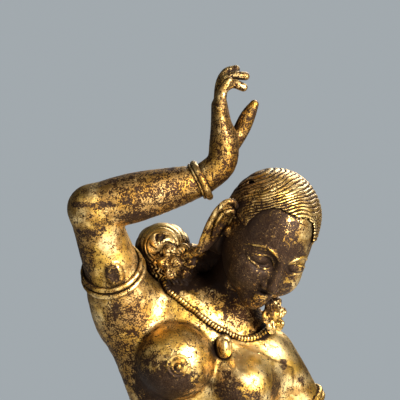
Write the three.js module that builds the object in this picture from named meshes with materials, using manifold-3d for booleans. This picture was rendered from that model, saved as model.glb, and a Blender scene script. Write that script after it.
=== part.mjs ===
// Dancing goddess: a small figure cast in gilt copper alloy, standing on a lotus base.
// Millimetres, +Z up. The figure faces -Y, so its right side is at -X.
// The origin is the centre of the base's underside.
import * as THREE from 'three';
import { LoftGeometry } from 'three/addons/geometries/LoftGeometry.js';
import { mergeVertices } from 'three/addons/utils/BufferGeometryUtils.js';
import Module from 'manifold-3d';

const wasm = await Module();
wasm.setup();

// Driving dimensions
const headHeight = 28.5; // crown to chin
const baseHeight = 16;
const baseRadius = 34;
const baseSquash = 0.8; // the base is oval: its depth over its width
const soleGap = 0.3; // the casting joint between the soles and the base
const soleLevel = baseHeight + soleGap;
const clothDepth = 0.7; // how far the garment stands proud of the legs
const bandWidth = 1.8; // bracelets and anklets
const bandDepth = 0.8;
const armletWire = 0.95;
const foldSag = 2.7;

// Joints of the pose: the hips swing to the figure's right, the shoulders lean to its left
const neckBase = at(1, 1, 149);
const shoulderLine = at(-3.4, 0.3, 142.4);
const chestCentre = at(-4.9, 0, 136);
const waist = at(-8, 0.5, 117.5);
const pelvis = at(-6, 1.2, 96);
const rightShoulder = at(-20.8, -1.5, 145.6);
const rightElbow = at(-28.5, -11.5, 170.6);
const rightWrist = at(-4.6, -10, 176.9);
const leftShoulder = at(9.8, 3, 135.4);
const leftElbow = at(23.6, 8, 113.4);
const leftWrist = at(17.6, -6, 94.4);
const rightHip = at(-14, 1.2, 92);
const rightKnee = at(-20.5, -10, 58);
const rightAnkle = at(-10.5, 3, 23.5);
const leftHip = at(2.2, 1.2, 90.5);
const leftKnee = at(16, -13, 62);
const leftAnkle = at(7.5, -1, 29.5);

// The head is turned to the figure's left, bowed, and inclined on to the left shoulder
const headCentre = at(9.8, -8, 164.6);
const headTurn = { yaw: 26, bow: 24, incline: 17 };

function at(x, y, z) {
  return new THREE.Vector3(x, y, z);
}

function between(a, b, share) {
  return a.clone().lerp(b, share);
}

function moved(point, x, y, z) {
  return point.clone().add(at(x, y, z));
}

// A closed geometry as a solid that can be joined and cut
function solid(geometry) {
  const bare = new THREE.BufferGeometry();
  bare.setAttribute('position', geometry.attributes.position);
  bare.setIndex(geometry.index);
  const merged = mergeVertices(bare, 1e-4);
  return new wasm.Manifold(
    new wasm.Mesh({
      numProp: 3,
      vertProperties: merged.attributes.position.array,
      triVerts: new Uint32Array(merged.index.array),
    }),
  );
}

const join = (solids) => solids.reduce((whole, one) => whole.add(one));

function meshOf(name, made, material) {
  const { vertProperties, triVerts } = made.getMesh();
  const geometry = new THREE.BufferGeometry();
  geometry.setAttribute('position', new THREE.BufferAttribute(vertProperties, 3));
  geometry.setIndex(new THREE.BufferAttribute(triVerts, 1));
  geometry.computeVertexNormals();
  const mesh = new THREE.Mesh(geometry, material);
  mesh.name = name;
  return mesh;
}

// A Catmull-Rom value through a list of numbers, at a share of its length
function along(values, share) {
  const place = share * (values.length - 1);
  const i = Math.min(Math.floor(place), values.length - 2);
  const t = place - i;
  const b = values[i];
  const c = values[i + 1];
  const a = values[i - 1] ?? 2 * b - c;
  const d = values[i + 2] ?? 2 * c - b;
  return b + 0.5 * t * (c - a + t * (2 * a - 5 * b + 4 * c - d + t * (3 * (b - c) + d - a)));
}

// A rounded limb through stations [centre, wide, deep]: an ellipse at each, wide being its half
// size along the side direction and deep its half size across. Both ends are domes.
function limb(stations, { sides = 10, rings = 1, side = at(1, 0, 0), domes = [0.6] } = {}) {
  const curve = new THREE.CatmullRomCurve3(stations.map((s) => s[0]), false, 'catmullrom', 0.5);
  const wide = stations.map((s) => s[1]);
  const deep = stations.map((s) => s[2] ?? s[1]);
  const section = (share, size, reach) => {
    const tangent = curve.getTangent(share);
    const across = side.clone();
    across.addScaledVector(tangent, -across.dot(tangent)).normalize();
    const front = new THREE.Vector3().crossVectors(tangent, across);
    const w = along(wide, share);
    const d = along(deep, share);
    const centre = curve.getPoint(share).addScaledVector(tangent, reach * Math.min(w, d));
    return Array.from({ length: sides }, (_, j) => {
      const angle = (2 * Math.PI * (j + 0.5)) / sides;
      return centre
        .clone()
        .addScaledVector(across, size * w * Math.cos(angle))
        .addScaledVector(front, size * d * Math.sin(angle));
    });
  };
  const domeSize = (reach) => Math.sqrt(1 - reach * reach);
  const count = (stations.length - 1) * rings;
  const sections = [];
  for (const reach of [...domes].reverse()) sections.push(section(0, domeSize(reach), -reach));
  for (let i = 0; i <= count; i++) sections.push(section(i / count, 1, 0));
  for (const reach of domes) sections.push(section(1, domeSize(reach), reach));
  return solid(new LoftGeometry(sections, { capStart: true, capEnd: true }));
}

// An ellipsoid
function ball(centre, radii, { sides = 8, rings = 6, turn = new THREE.Quaternion() } = {}) {
  const [rx, ry, rz] = typeof radii === 'number' ? [radii, radii, radii] : radii;
  const geometry = new THREE.SphereGeometry(1, sides, rings);
  geometry.rotateX(Math.PI / 2);
  geometry.scale(rx, ry, rz);
  geometry.applyQuaternion(turn);
  geometry.translate(centre.x, centre.y, centre.z);
  return solid(geometry);
}

// A ring of round wire about an axis; squash narrows it from front to back
function ring(centre, axis, radius, wire, { sides = 4, steps = 10, squash = 1 } = {}) {
  const geometry = new THREE.TorusGeometry(radius, wire, sides, steps);
  geometry.scale(1, squash, 1);
  geometry.applyQuaternion(
    new THREE.Quaternion().setFromUnitVectors(at(0, 0, 1), axis.clone().normalize()),
  );
  geometry.translate(centre.x, centre.y, centre.z);
  return solid(geometry);
}

// Trunk: the chest is turned to the figure's left
const chestSide = at(Math.cos(THREE.MathUtils.degToRad(8)), Math.sin(THREE.MathUtils.degToRad(8)), 0);

function trunk() {
  const stations = [
    [moved(pelvis, 0.2, 0.8, -10), 13, 9],
    [moved(pelvis, 0, 0.2, -4), 17, 10.6],
    [pelvis, 17.8, 10.8],
    [between(pelvis, waist, 0.35), 15.8, 9.7],
    [between(pelvis, waist, 0.68), 12.4, 8.4],
    [waist, 11.2, 7.6],
    [between(waist, chestCentre, 0.3), 13, 7.9],
    [between(waist, chestCentre, 0.65), 16, 8.5],
    [chestCentre, 18, 8.8],
    [shoulderLine, 17.8, 7.4],
    [between(shoulderLine, neckBase, 0.7), 10.5, 5.8],
  ];
  return limb(stations, { sides: 14, side: chestSide });
}

const breasts = [
  { centre: at(-10.3, -8.2, 136.6), radius: 8.5, face: 5 },
  { centre: at(4.6, -5.2, 130.2), radius: 7.5, face: 45 },
];

function breast({ centre, radius, face }) {
  const turn = THREE.MathUtils.degToRad(face);
  const out = at(Math.sin(turn), -Math.cos(turn), 0.05).normalize();
  const nipple = centre.clone().addScaledVector(out, radius);
  return join([
    ball(centre, radius, { sides: 12, rings: 6 }),
    ball(nipple, 1.1, { sides: 5, rings: 3 }),
  ]);
}

// A raised band of round wire round a limb, as three stations of it
function band(from, to, share, girth) {
  const half = bandWidth / 2 / from.distanceTo(to);
  const station = (step, size) => [between(from, to, share + step * half), size];
  return [station(-1, girth), station(0, girth + bandDepth), station(1, girth)];
}

// Arms: an upper arm and a forearm that share the ball of the elbow, with an armlet and a bracelet
function arm(shoulder, elbow, wrist, girth) {
  const upper = [
    [shoulder, girth.shoulder],
    [between(shoulder, elbow, 0.2), girth.shoulder * 0.98],
    [between(shoulder, elbow, girth.armlet), girth.upper],
    [between(shoulder, elbow, 0.8), girth.upper * 0.88],
    [elbow, girth.elbow],
  ];
  const fore = [
    [elbow, girth.elbow * 0.98],
    [between(elbow, wrist, 0.22), girth.fore],
    [between(elbow, wrist, 0.42), girth.fore],
    [between(elbow, wrist, 0.7), girth.fore * 0.86],
    ...band(elbow, wrist, 1, girth.wrist),
  ];
  const armletAxis = elbow.clone().sub(shoulder).normalize();
  armletAxis.y -= girth.armletTilt;
  const armletCentre = between(shoulder, elbow, girth.armlet);
  const armlet = ring(armletCentre, armletAxis, girth.upper + 0.2, armletWire, { steps: 14 });
  const shape = { sides: 10, side: at(0, 1, 0) };
  return join([limb(upper, shape), limb(fore, shape), armlet]);
}

const rightGirth = {
  shoulder: 6.8,
  upper: 6.2,
  elbow: 5.1,
  fore: 5.4,
  wrist: 3.4,
  armlet: 0.45,
  armletTilt: 0.45,
};
const leftGirth = {
  shoulder: 7.2,
  upper: 6.6,
  elbow: 4.8,
  fore: 5,
  wrist: 3.3,
  armlet: 0.52,
  armletTilt: 0,
};

// The oval plaque that stands up from the right armlet
const plaque = () =>
  ball(at(-23.5, -12, 156.3), [2.2, 1.4, 2.9], {
    sides: 6,
    rings: 4,
    turn: new THREE.Quaternion().setFromEuler(new THREE.Euler(0.4, -0.2, 0)),
  });

// The side of the chest drawn up by the raised arm
const drawnSide = () =>
  limb([
    [moved(rightShoulder, 6, 2.5, -16), 4, 6],
    [moved(rightShoulder, 3.4, 2, -9), 5.6, 6.8],
    [rightShoulder, 6.8, 6.9],
    [between(rightShoulder, rightElbow, 0.2), 6.4],
  ]);

// A finger or toe through its joints, root first
const finger = (joints, radius, taper = 0.25) =>
  limb(
    joints.map((joint, i) => [joint, radius * (1 - (taper * i) / (joints.length - 1))]),
    { sides: 5, side: at(0, 1, 0) },
  );

// The raised hand stands up from the bent wrist, palm to the figure's left, its fingers curling
const fingerPitch = 2.1;
const palmDepth = -9.6;
const raisedFingers = [
  [at(-0.4, 0, 192), at(0, 0, 196), at(1.4, 0, 198.4)],
  [at(-0.5, 0, 192), at(0, 0, 196.2), at(2.2, 0, 197.8), at(4.6, 0, 197)],
  [at(-0.6, 0, 192), at(-0.2, 0, 197), at(2, 0, 199.4), at(5.1, 0, 199.4)],
  [at(-0.7, 0, 192), at(-0.4, 0, 197.4), at(0.9, 0, 200.2), at(3, 0, 201)],
];
const raisedThumb = [
  [at(1.8, -6.6, 183), 1.5],
  [at(4.2, -5.8, 187.4), 1.8],
  [at(5.7, -6, 190.6), 1.65],
  [at(7.1, -6.4, 193.2), 1],
];

function raisedHand() {
  const stations = [
    [rightWrist, 3.4, 3.4],
    [at(-0.3, -9.8, 180.2), 3.7, 3.3],
    [at(0.4, palmDepth, 185), 4.3, 3.2],
    [at(-0.2, palmDepth, 189), 4.4, 2.3],
    [at(-0.6, palmDepth, 193), 4.1, 1.8],
  ];
  const fingers = raisedFingers.map((joints, i) => {
    const depth = palmDepth + (i - 1.5) * fingerPitch;
    return finger(joints.map((joint) => moved(joint, 0, depth, 0)), 1.25);
  });
  return join([limb(stations, { sides: 8, side: at(0, 1, 0) }), ...fingers, limb(raisedThumb, { sides: 5 })]);
}

// The lowered hand lies on the left thigh, its fingers pointing forward and down
function loweredHand() {
  const palm = at(14.8, -10.6, 89.4);
  const knuckles = at(12.4, -13, 85.2);
  const side = at(0.75, 0.45, -0.3).normalize();
  const parts = [
    limb(
      [
        [leftWrist, 3.2, 3.2],
        [between(leftWrist, palm, 0.6), 3.9, 2.8],
        [palm, 4.5, 2.2],
        [knuckles, 4.3, 1.8],
      ],
      { sides: 8, side },
    ),
  ];
  for (let i = 0; i < 4; i++) {
    const root = knuckles.clone().addScaledVector(side, (i - 1.5) * fingerPitch);
    const joints = [moved(root, 0.6, 0.6, 1), moved(root, -1.6, -1.5, -3), moved(root, -3, -2.1, -6.2)];
    parts.push(finger(joints, 1.26));
  }
  parts.push(finger([at(13, -9.6, 91.6), at(9.4, -11.8, 90.4), at(6.8, -12.4, 87.8)], 1.4));
  return join(parts);
}

// Legs: the garment clings to them down to a hem on the shin
const hemShare = 0.5; // of the way from knee to ankle
const calfSwell = at(0, 1.6, 0.4);

const legStations = (hip, knee, ankle, extra) => [
  [hip, 9.8 + extra, 9.6 + extra],
  [between(hip, knee, 0.35), 9.3 + extra],
  [between(hip, knee, 0.75), 6.9 + extra],
  [knee, 5.6 + extra],
  [between(knee, ankle, 0.3).add(calfSwell), 5 + extra, 5.6 + extra],
  [between(knee, ankle, 0.65).add(calfSwell.clone().multiplyScalar(0.5)), 4 + extra, 4.3 + extra],
  ...band(knee, ankle, 1, 3.1),
];

function leg(hip, knee, ankle) {
  const bare = legStations(hip, knee, ankle, 0).slice(3);
  const clothed = legStations(hip, knee, ankle, clothDepth).slice(0, 5);
  const hem = between(knee, ankle, hemShare).add(calfSwell.clone().multiplyScalar(0.8));
  clothed.push([hem, 5.4 + clothDepth, 5.8 + clothDepth]);
  return join([limb(bare, { sides: 8 }), limb(clothed, { sides: 10, domes: [0.2] })]);
}

// Folds of the garment: thin ridges that loop across the front of a thigh
function folds(hip, knee) {
  const count = 3;
  const downward = knee.clone().sub(hip).normalize();
  const across = at(1, 0, 0).addScaledVector(downward, -downward.x).normalize();
  const outward = new THREE.Vector3().crossVectors(downward, across).normalize();
  return Array.from({ length: count }, (_, i) => {
    const share = 0.2 + (0.45 * i) / (count - 1);
    const radius = 10.5 - 3 * share;
    const stations = [-75, -38, 0, 38, 75].map((degrees) => {
      const angle = THREE.MathUtils.degToRad(degrees);
      const point = between(hip, knee, share)
        .addScaledVector(across, radius * Math.sin(angle))
        .addScaledVector(outward, radius * Math.cos(angle))
        .addScaledVector(downward, foldSag * Math.cos(angle));
      return [point, 0.8];
    });
    return limb(stations, { sides: 3 });
  });
}

// The belt, the pleat that falls from its clasp, and the sash swung across the thighs
function drapery() {
  const beltCentre = between(pelvis, waist, 0.32);
  const clasp = moved(beltCentre, -0.4, -10.4, -0.6);
  const pleat = [
    [moved(clasp, 0, 0.4, -1), 2, 1.2],
    [moved(clasp, 0.6, 0.2, -9), 2.6, 1.3],
    [moved(clasp, 1.2, 1.6, -21), 3.2, 1.4],
    [moved(clasp, 1.8, 2, -33), 3.8, 1.4],
    [moved(clasp, 2.2, 1.2, -44), 4.6, 1.5],
  ];
  const sash = [
    [at(-24.4, 0.4, 97), 2, 1.4],
    [at(-20.6, -8.8, 86), 2.2, 1.4],
    [at(-11.6, -12.6, 79.4), 2.3, 1.4],
    [at(-3.8, -9.6, 77.8), 2.3, 1.4],
    [at(4.4, -13.1, 79.3), 2.3, 1.4],
    [at(12, -10.4, 84.4), 2.2, 1.4],
    [at(12.6, 0, 92), 2, 1.4],
  ];
  return [
    ring(beltCentre, at(-0.06, 0, 1), 16.4, 1.3, { sides: 4, steps: 20, squash: 0.615 }),
    ball(clasp, [2.6, 1.6, 2.6], { sides: 6, rings: 4 }),
    limb(pleat, { sides: 6 }),
    limb(sash, { sides: 5, side: at(0, 0, 1) }),
  ];
}

function foot(heel, instep, toeRoot, toes) {
  const run = toes.clone().sub(heel).normalize();
  const side = at(-run.y, run.x, 0).normalize();
  return limb(
    [
      [heel, 3.2, 3],
      [instep, 3.5, 3.3],
      [toeRoot, 4.2, 2.1],
      [toes, 4, 1.4],
      [toes.clone().addScaledVector(run, 2.4), 3.3, 1.1],
    ],
    { sides: 8, side },
  );
}

function feet() {
  const rightHeel = moved(rightAnkle, 0.9, 3, -4.4);
  const rightInstep = moved(rightAnkle, -1.2, -3, -3.4);
  const leftHeel = moved(leftAnkle, -1, 2.4, -3.4);
  const leftInstep = moved(leftAnkle, 1.2, -2.2, -4);
  return [
    foot(rightHeel, rightInstep, at(-14, -8, 18.1), at(-15.3, -12, 17.6)),
    foot(leftHeel, leftInstep, at(12.2, -9, 19), at(14, -13, 17.6)),
  ];
}

// The head's own frame: x to its left, -y out of the face, z to the crown, origin at mid height
const headFrame = (() => {
  const rad = THREE.MathUtils.degToRad;
  const frame = new THREE.Matrix4().makeRotationY(rad(headTurn.incline));
  frame.multiply(new THREE.Matrix4().makeRotationZ(rad(headTurn.yaw)));
  frame.multiply(new THREE.Matrix4().makeRotationX(rad(headTurn.bow)));
  return frame.setPosition(headCentre);
})();
const headQuaternion = new THREE.Quaternion().setFromRotationMatrix(headFrame);
const inHead = (x, y, z) => at(x, y, z).applyMatrix4(headFrame);
const headSide = at(1, 0, 0).applyQuaternion(headQuaternion);
const headFront = at(0, -1, 0).applyQuaternion(headQuaternion);

// The face by thirds: chin to nose, nose to brow, brow to hair
const faceThird = 0.27 * headHeight;
const chinLevel = -headHeight / 2;
const noseLevel = chinLevel + faceThird;
const mouthLevel = noseLevel - faceThird / 3;
const browLevel = noseLevel + faceThird;
const eyeLevel = browLevel - 0.22 * faceThird;
const faceWidth = 0.66 * headHeight;

// The skull as shares of the head: [level from chin to crown, half width, half depth, set back]
const skull = [
  [0.06, 0.07, 0.06, -0.25],
  [0.13, 0.17, 0.17, -0.18],
  [0.25, 0.26, 0.28, -0.09],
  [0.41, 0.31, 0.37, -0.03],
  [0.57, 0.325, 0.41, 0],
  [0.7, 0.305, 0.4, 0.01],
];

function skullShell(extra, from, sides) {
  const stations = skull.slice(from).map(([level, wide, deep, back]) => [
    inHead(0, back * headHeight, chinLevel + level * headHeight),
    wide * headHeight + extra,
    deep * headHeight + extra,
  ]);
  return limb(stations, { sides, side: headSide, domes: [0.4, 0.72, 0.94] });
}

function head() {
  const inTurn = { turn: headQuaternion };
  const eyeApart = 0.23 * faceWidth;
  const noseBridge = [
    [inHead(0, -10.6, browLevel - 0.4), 0.8, 0.7],
    [inHead(0, -11.4, (browLevel + noseLevel) / 2), 1, 0.9],
    [inHead(0, -11.9, noseLevel + 0.9), 1.6, 1.3],
  ];
  const parts = [
    skullShell(0, 0, 12),
    ball(inHead(0, -8.6, chinLevel + 2.6), [2.6, 2, 2.2], { ...inTurn, rings: 5 }),
    limb(noseBridge, { sides: 6, side: headSide }),
    ball(inHead(0, -9.8, mouthLevel), [2.7, 1.3, 1.3], { ...inTurn, rings: 4 }),
  ];
  for (const hand of [-1, 1]) {
    parts.push(ball(inHead(hand * eyeApart, -9.3, eyeLevel), [2.1, 1.2, 1.1], { ...inTurn, rings: 4 }));
  }
  return join(parts);
}

// The hair is combed back from a low line over the brow and the temples to a bun that rests on the
// right shoulder
const hairDepth = 0.8;
const hairParting = 1.2; // to the left of the head's middle
const hairArch = { halfWidth: 10.7, top: 11.4, temple: 1.4, behind: 1.2, reach: 20 };
const hairSide = { radius: 11.6, forward: 6.5, down: 0.2 };
const bunCentre = at(-13.2, 1.5, 161);
const bunSize = [6.2, 6.2, 5.4];

// The bare face within the hairline: an arch seen from the front, and a rounder one from the side
function bareFace() {
  const { halfWidth, top, temple, behind, reach } = hairArch;
  const arch = new THREE.Shape();
  arch.moveTo(hairParting + 0.7 * halfWidth, top - 1.2);
  arch.quadraticCurveTo(hairParting, top + 1, hairParting - 0.7 * halfWidth, top - 1.2);
  arch.lineTo(hairParting - 0.96 * halfWidth, temple);
  arch.lineTo(-2 * halfWidth, temple);
  arch.lineTo(-2 * halfWidth, -top);
  arch.lineTo(2 * halfWidth, -top);
  arch.lineTo(2 * halfWidth, temple);
  arch.lineTo(hairParting + 0.96 * halfWidth, temple);
  const front = new THREE.ExtrudeGeometry(arch, { depth: reach, bevelEnabled: false, curveSegments: 3 });
  front.rotateX(Math.PI / 2);
  front.translate(0, behind, 0);
  const side = new THREE.CylinderGeometry(hairSide.radius, hairSide.radius, 4 * faceWidth, 12);
  side.rotateZ(Math.PI / 2);
  side.translate(0, -hairSide.forward, -hairSide.down);
  front.applyMatrix4(headFrame);
  side.applyMatrix4(headFrame);
  return solid(front).intersect(solid(side));
}

function hair() {
  const roll = [
    [inHead(0, 5, -10), 4.2, 3.6],
    [moved(bunCentre, 9.6, -0.4, -2.8), 3.4, 3],
    [moved(bunCentre, 3.6, -0.4, -2.2), 3.4, 3],
  ];
  const tress = [
    [bunCentre, 5.4, 5],
    [moved(bunCentre, 1.4, -0.6, -4.6), 5.6, 5.2],
    [moved(bunCentre, 4, -0.4, -9.9), 4.8, 4.6],
  ];
  const behindEar = [
    [inHead(-5, 4, 0), 4],
    [inHead(-8, 4, -6), 3.4],
  ];
  return join([
    skullShell(hairDepth, 2, 14).subtract(bareFace()),
    limb(behindEar, { sides: 6 }),
    limb(roll, { sides: 7 }),
    limb(tress, { sides: 8 }),
    ball(bunCentre, bunSize, { sides: 10, rings: 7 }),
  ]);
}

// The long ears, each with a rosette hanging from its lobe
const earrings = [
  {
    hand: -1,
    standOff: 0.2,
    lobe: at(-5.8, -9.4, 161),
    centre: at(-10.1, -7.6, 158.4),
    toward: at(-0.2, -1, 0.25),
  },
  {
    hand: 1,
    standOff: -2.4,
    lobe: at(11, -1.5, 153.8),
    centre: at(11.6, -5.2, 146.6),
    toward: at(0.85, -0.6, 0.1),
  },
];

function ear({ hand, lobe, centre, standOff }) {
  const blade = (x, y, z, wide, deep) => [inHead(hand * (x + standOff), y, z), wide, deep];
  const stations = [
    blade(10.8, 0.7, 4, 2.3, 1.1),
    blade(11.6, 0.7, 1.6, 2.9, 1.1),
    blade(11.8, 0.7, -2, 2.7, 1),
    blade(12.2, 0.5, -6, 1.9, 0.9),
    [lobe, 1.2, 1],
    [centre, 1, 1],
  ];
  return limb(stations, { sides: 7, side: headSide });
}

// A flower of round petals about a domed heart
function rosette({ centre, toward }) {
  const petals = 6;
  const pointsEach = 3;
  const outline = new THREE.Shape(
    Array.from({ length: petals * pointsEach }, (_, i) => {
      const angle = (2 * Math.PI * i) / (petals * pointsEach);
      const reach = 2.7 + 1.1 * Math.sin((angle * petals) / 2) ** 2;
      return new THREE.Vector2(reach * Math.cos(angle), reach * Math.sin(angle));
    }),
  );
  const flower = new THREE.ExtrudeGeometry(outline, {
    depth: 1.2,
    bevelSize: 0.4,
    bevelThickness: 0.5,
    bevelOffset: -0.4,
    bevelSegments: 1,
    steps: 1,
  });
  flower.translate(0, 0, -0.8);
  const turn = new THREE.Quaternion().setFromUnitVectors(at(0, 0, 1), toward.clone().normalize());
  flower.applyQuaternion(turn);
  flower.translate(centre.x, centre.y, centre.z);
  return join([solid(flower), ball(centre, 2, { sides: 5, rings: 4, turn })]);
}

const neck = () =>
  limb(
    [
      [moved(neckBase, -1, 0.6, -4), 9, 6.2],
      [neckBase, 6.8, 6],
      [between(neckBase, inHead(0, 3, -8), 0.55), 5.6],
      [inHead(0, 2, -6), 5.8],
    ],
    { sides: 10, side: chestSide },
  );

// Jewellery
const necklaceLine = [
  at(-12.4, 4.5, 153.8),
  at(-12.3, -4.1, 152.3),
  at(-9.2, -6.1, 149.8),
  at(-4.8, -6.9, 146.4),
  at(-0.4, -6.9, 143.5),
  at(3.9, -5.6, 141.4),
  at(6.9, -3.8, 141),
  at(9.4, -1.5, 141.9),
  at(11.2, 0.8, 143.6),
  at(9.6, 5.4, 145.8),
];

function necklace() {
  const beads = 12;
  const curve = new THREE.CatmullRomCurve3(necklaceLine, false, 'catmullrom', 0.5);
  const stations = Array.from({ length: 2 * beads + 1 }, (_, i) => [
    curve.getPoint(i / (2 * beads)),
    i % 2 ? 0.95 : 0.65,
  ]);
  return join([limb(stations, { sides: 4 }), ball(at(0.5, -8.5, 139.9), [1.8, 1.9, 2.9])]);
}

// The lotus base: a waisted body with a row of petals turned down and a row turned up
const petalsInRow = 12;

function base() {
  const profile = [
    [0, 0],
    [baseRadius, 0],
    [baseRadius, 2],
    [baseRadius - 3, 3.2],
    [baseRadius - 7.5, baseHeight / 2],
    [baseRadius - 5, baseHeight - 3],
    [baseRadius - 3.6, baseHeight - 1.4],
    [baseRadius - 4.2, baseHeight],
    [0, baseHeight],
  ].map(([r, z]) => new THREE.Vector2(r, z));
  const body = new THREE.LatheGeometry(profile, 2 * petalsInRow);
  body.rotateX(Math.PI / 2);
  const parts = [solid(body)];
  const rows = [
    { level: 5, radius: baseRadius - 5.6, lean: -48, turn: 0 },
    { level: baseHeight - 5.2, radius: baseRadius - 6.2, lean: 30, turn: 0.5 },
  ];
  for (const { level, radius, lean, turn } of rows) {
    for (let i = 0; i < petalsInRow; i++) {
      const petal = new THREE.SphereGeometry(1, 5, 4);
      petal.scale(2, 6, 4.6);
      petal.rotateY(THREE.MathUtils.degToRad(lean));
      petal.translate(radius, 0, level);
      petal.rotateZ((2 * Math.PI * (i + turn)) / petalsInRow);
      parts.push(solid(petal));
    }
  }
  const slab = new THREE.BoxGeometry(4 * baseRadius, 4 * baseRadius, baseHeight);
  slab.translate(0, 0, baseHeight / 2);
  return join(parts).intersect(solid(slab)).scale([1, baseSquash, 1]);
}

function figure() {
  const parts = [
    trunk(),
    ...breasts.map(breast),
    neck(),
    head(),
    hair(),
    ...earrings.map(ear),
    ...earrings.map(rosette),
    arm(rightShoulder, rightElbow, rightWrist, rightGirth),
    plaque(),
    drawnSide(),
    raisedHand(),
    arm(leftShoulder, leftElbow, leftWrist, leftGirth),
    loweredHand(),
    leg(rightHip, rightKnee, rightAnkle),
    leg(leftHip, leftKnee, leftAnkle),
    ...folds(rightHip, rightKnee),
    ...folds(leftHip, leftKnee),
    ...drapery(),
    ...feet(),
    necklace(),
  ];
  const ground = new THREE.BoxGeometry(6 * baseRadius, 6 * baseRadius, 20);
  ground.translate(0, 0, soleLevel - 10);
  return join(parts).subtract(solid(ground));
}

const gilding = new THREE.MeshStandardMaterial({ color: 0xb98a3a, metalness: 0.9, roughness: 0.38 });
const wornGilding = new THREE.MeshStandardMaterial({ color: 0x9a7334, metalness: 0.85, roughness: 0.45 });

const goddess = new THREE.Group();
goddess.add(meshOf('figure', figure(), gilding));
goddess.add(meshOf('lotus_base', base(), wornGilding));

export default goddess;
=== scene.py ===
# Dancing goddess, gilt copper alloy, on a lotus base.
# The shapes are in millimetres, as the casting would be measured; the meshes are made in metres.
import bpy
import math
import time
import numpy as np
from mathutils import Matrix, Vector


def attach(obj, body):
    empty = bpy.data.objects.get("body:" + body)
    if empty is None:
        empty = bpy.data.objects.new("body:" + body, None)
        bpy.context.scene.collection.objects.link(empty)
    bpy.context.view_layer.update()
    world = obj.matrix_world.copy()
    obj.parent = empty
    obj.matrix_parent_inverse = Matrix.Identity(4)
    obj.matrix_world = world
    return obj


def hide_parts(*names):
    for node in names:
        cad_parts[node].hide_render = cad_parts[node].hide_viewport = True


started = time.time()
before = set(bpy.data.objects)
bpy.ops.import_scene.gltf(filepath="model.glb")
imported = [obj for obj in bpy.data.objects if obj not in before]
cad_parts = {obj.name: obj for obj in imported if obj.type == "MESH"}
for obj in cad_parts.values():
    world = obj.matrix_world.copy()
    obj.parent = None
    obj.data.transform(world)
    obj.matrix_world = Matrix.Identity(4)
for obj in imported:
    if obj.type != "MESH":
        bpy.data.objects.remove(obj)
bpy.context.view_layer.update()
metre = 0.001  # one millimetre


def report(text):
    print(f"[{time.time() - started:6.1f} s] {text}")


# vectors
def at(x, y, z):
    return np.array([x, y, z], float)


def mix(a, b, share):
    return np.asarray(a, float) * (1 - share) + np.asarray(b, float) * share


def unit(v):
    v = np.asarray(v, float)
    return v / np.linalg.norm(v)


# the length of each row, and the rows made one long
def lengthOf(rows):
    return np.linalg.norm(rows, axis=1)


def unitRows(rows):
    return rows / lengthOf(rows)[:, None]


def turnAbout(axis, degrees):
    c, s = math.cos(math.radians(degrees)), math.sin(math.radians(degrees))
    i, j = [(1, 2), (2, 0), (0, 1)]["xyz".index(axis)]
    m = np.eye(3)
    m[i, i] = m[j, j] = c
    m[i, j], m[j, i] = -s, s
    return m


# rows through the values on a smooth curve, its ends carried straight on
def curveThrough(values, share):
    values = np.asarray(values, float)
    last = len(values) - 1
    place = np.clip(np.asarray(share, float), 0, 1) * last
    i = np.minimum(place.astype(int), last - 1)
    t = (place - i)[:, None]
    row = np.vstack([2 * values[0] - values[1], values, 2 * values[-1] - values[-2]])
    a, b, c, d = row[i], row[i + 1], row[i + 2], row[i + 3]
    return b + 0.5 * t * (c - a + t * (2 * a - 5 * b + 4 * c - d + t * (3 * (b - c) + d - a)))


# wax forms: each gives a signed distance and knows its own box
class Form:
    def __init__(self, low, high, measure):
        self.low, self.high, self.measure = np.asarray(low, float), np.asarray(high, float), measure


def ball(centre, radii, turn=None):
    r = np.ones(3) * radii
    turn = np.eye(3) if turn is None else turn

    def measure(p):
        q = (p - centre) @ turn
        k0 = np.sqrt(((q / r) ** 2).sum(1))
        k1 = np.sqrt(((q / r**2) ** 2).sum(1)) + 1e-9
        return k0 * (k0 - 1) / k1

    reach = np.abs(turn) @ r
    return Form(centre - reach, centre + reach, measure)


# a limb: an ellipse swept through (centre, wide, deep) stations, its width along side
def limb(stations, side=(1, 0, 0), perSpan=4):
    rows = [[*s[0], s[1], s[2] if len(s) > 2 else s[1]] for s in stations]
    rows = curveThrough(rows, np.linspace(0, 1, (len(rows) - 1) * perSpan + 1))
    a, b = rows[:-1], rows[1:]
    along = b[:, :3] - a[:, :3]
    length2 = (along**2).sum(1)
    tangent = along / np.sqrt(length2)[:, None]
    side = np.asarray(side, float)
    across = unitRows(side - (side * tangent).sum(1)[:, None] * tangent)
    front = np.cross(tangent, across)
    grow = b[:, 3:] - a[:, 3:]
    middle = rows[:, :3]

    def dot(u, v):
        return np.einsum("ij,ij->i", u, v)

    def measure(p):
        # only the spans on either side of the nearest station can be the nearest
        nearest = ((middle**2).sum(1) - 2 * p @ middle.T).argmin(1)
        best = np.full(len(p), 1e3)
        for step in (-2, -1, 0, 1):
            i = np.clip(nearest + step, 0, len(a) - 1)
            v = p - a[i, :3]
            t = np.clip(dot(v, along[i]) / length2[i], 0, 1)
            v = v - t[:, None] * along[i]
            w, d = (a[i, 3:] + t[:, None] * grow[i]).T
            x, y, z = dot(v, across[i]), dot(v, front[i]), dot(v, tangent[i])
            m = np.minimum(w, d)
            k0 = np.sqrt((x / w) ** 2 + (y / d) ** 2 + (z / m) ** 2)
            k1 = np.sqrt((x / w**2) ** 2 + (y / d**2) ** 2 + (z / m**2) ** 2) + 1e-9
            best = np.minimum(best, np.where(k0 > 1e-6, k0 * (k0 - 1) / k1, -m))
        return best

    reach = rows[:, 3:].max(1)[:, None]
    return Form((rows[:, :3] - reach).min(0), (rows[:, :3] + reach).max(0), measure)


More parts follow.
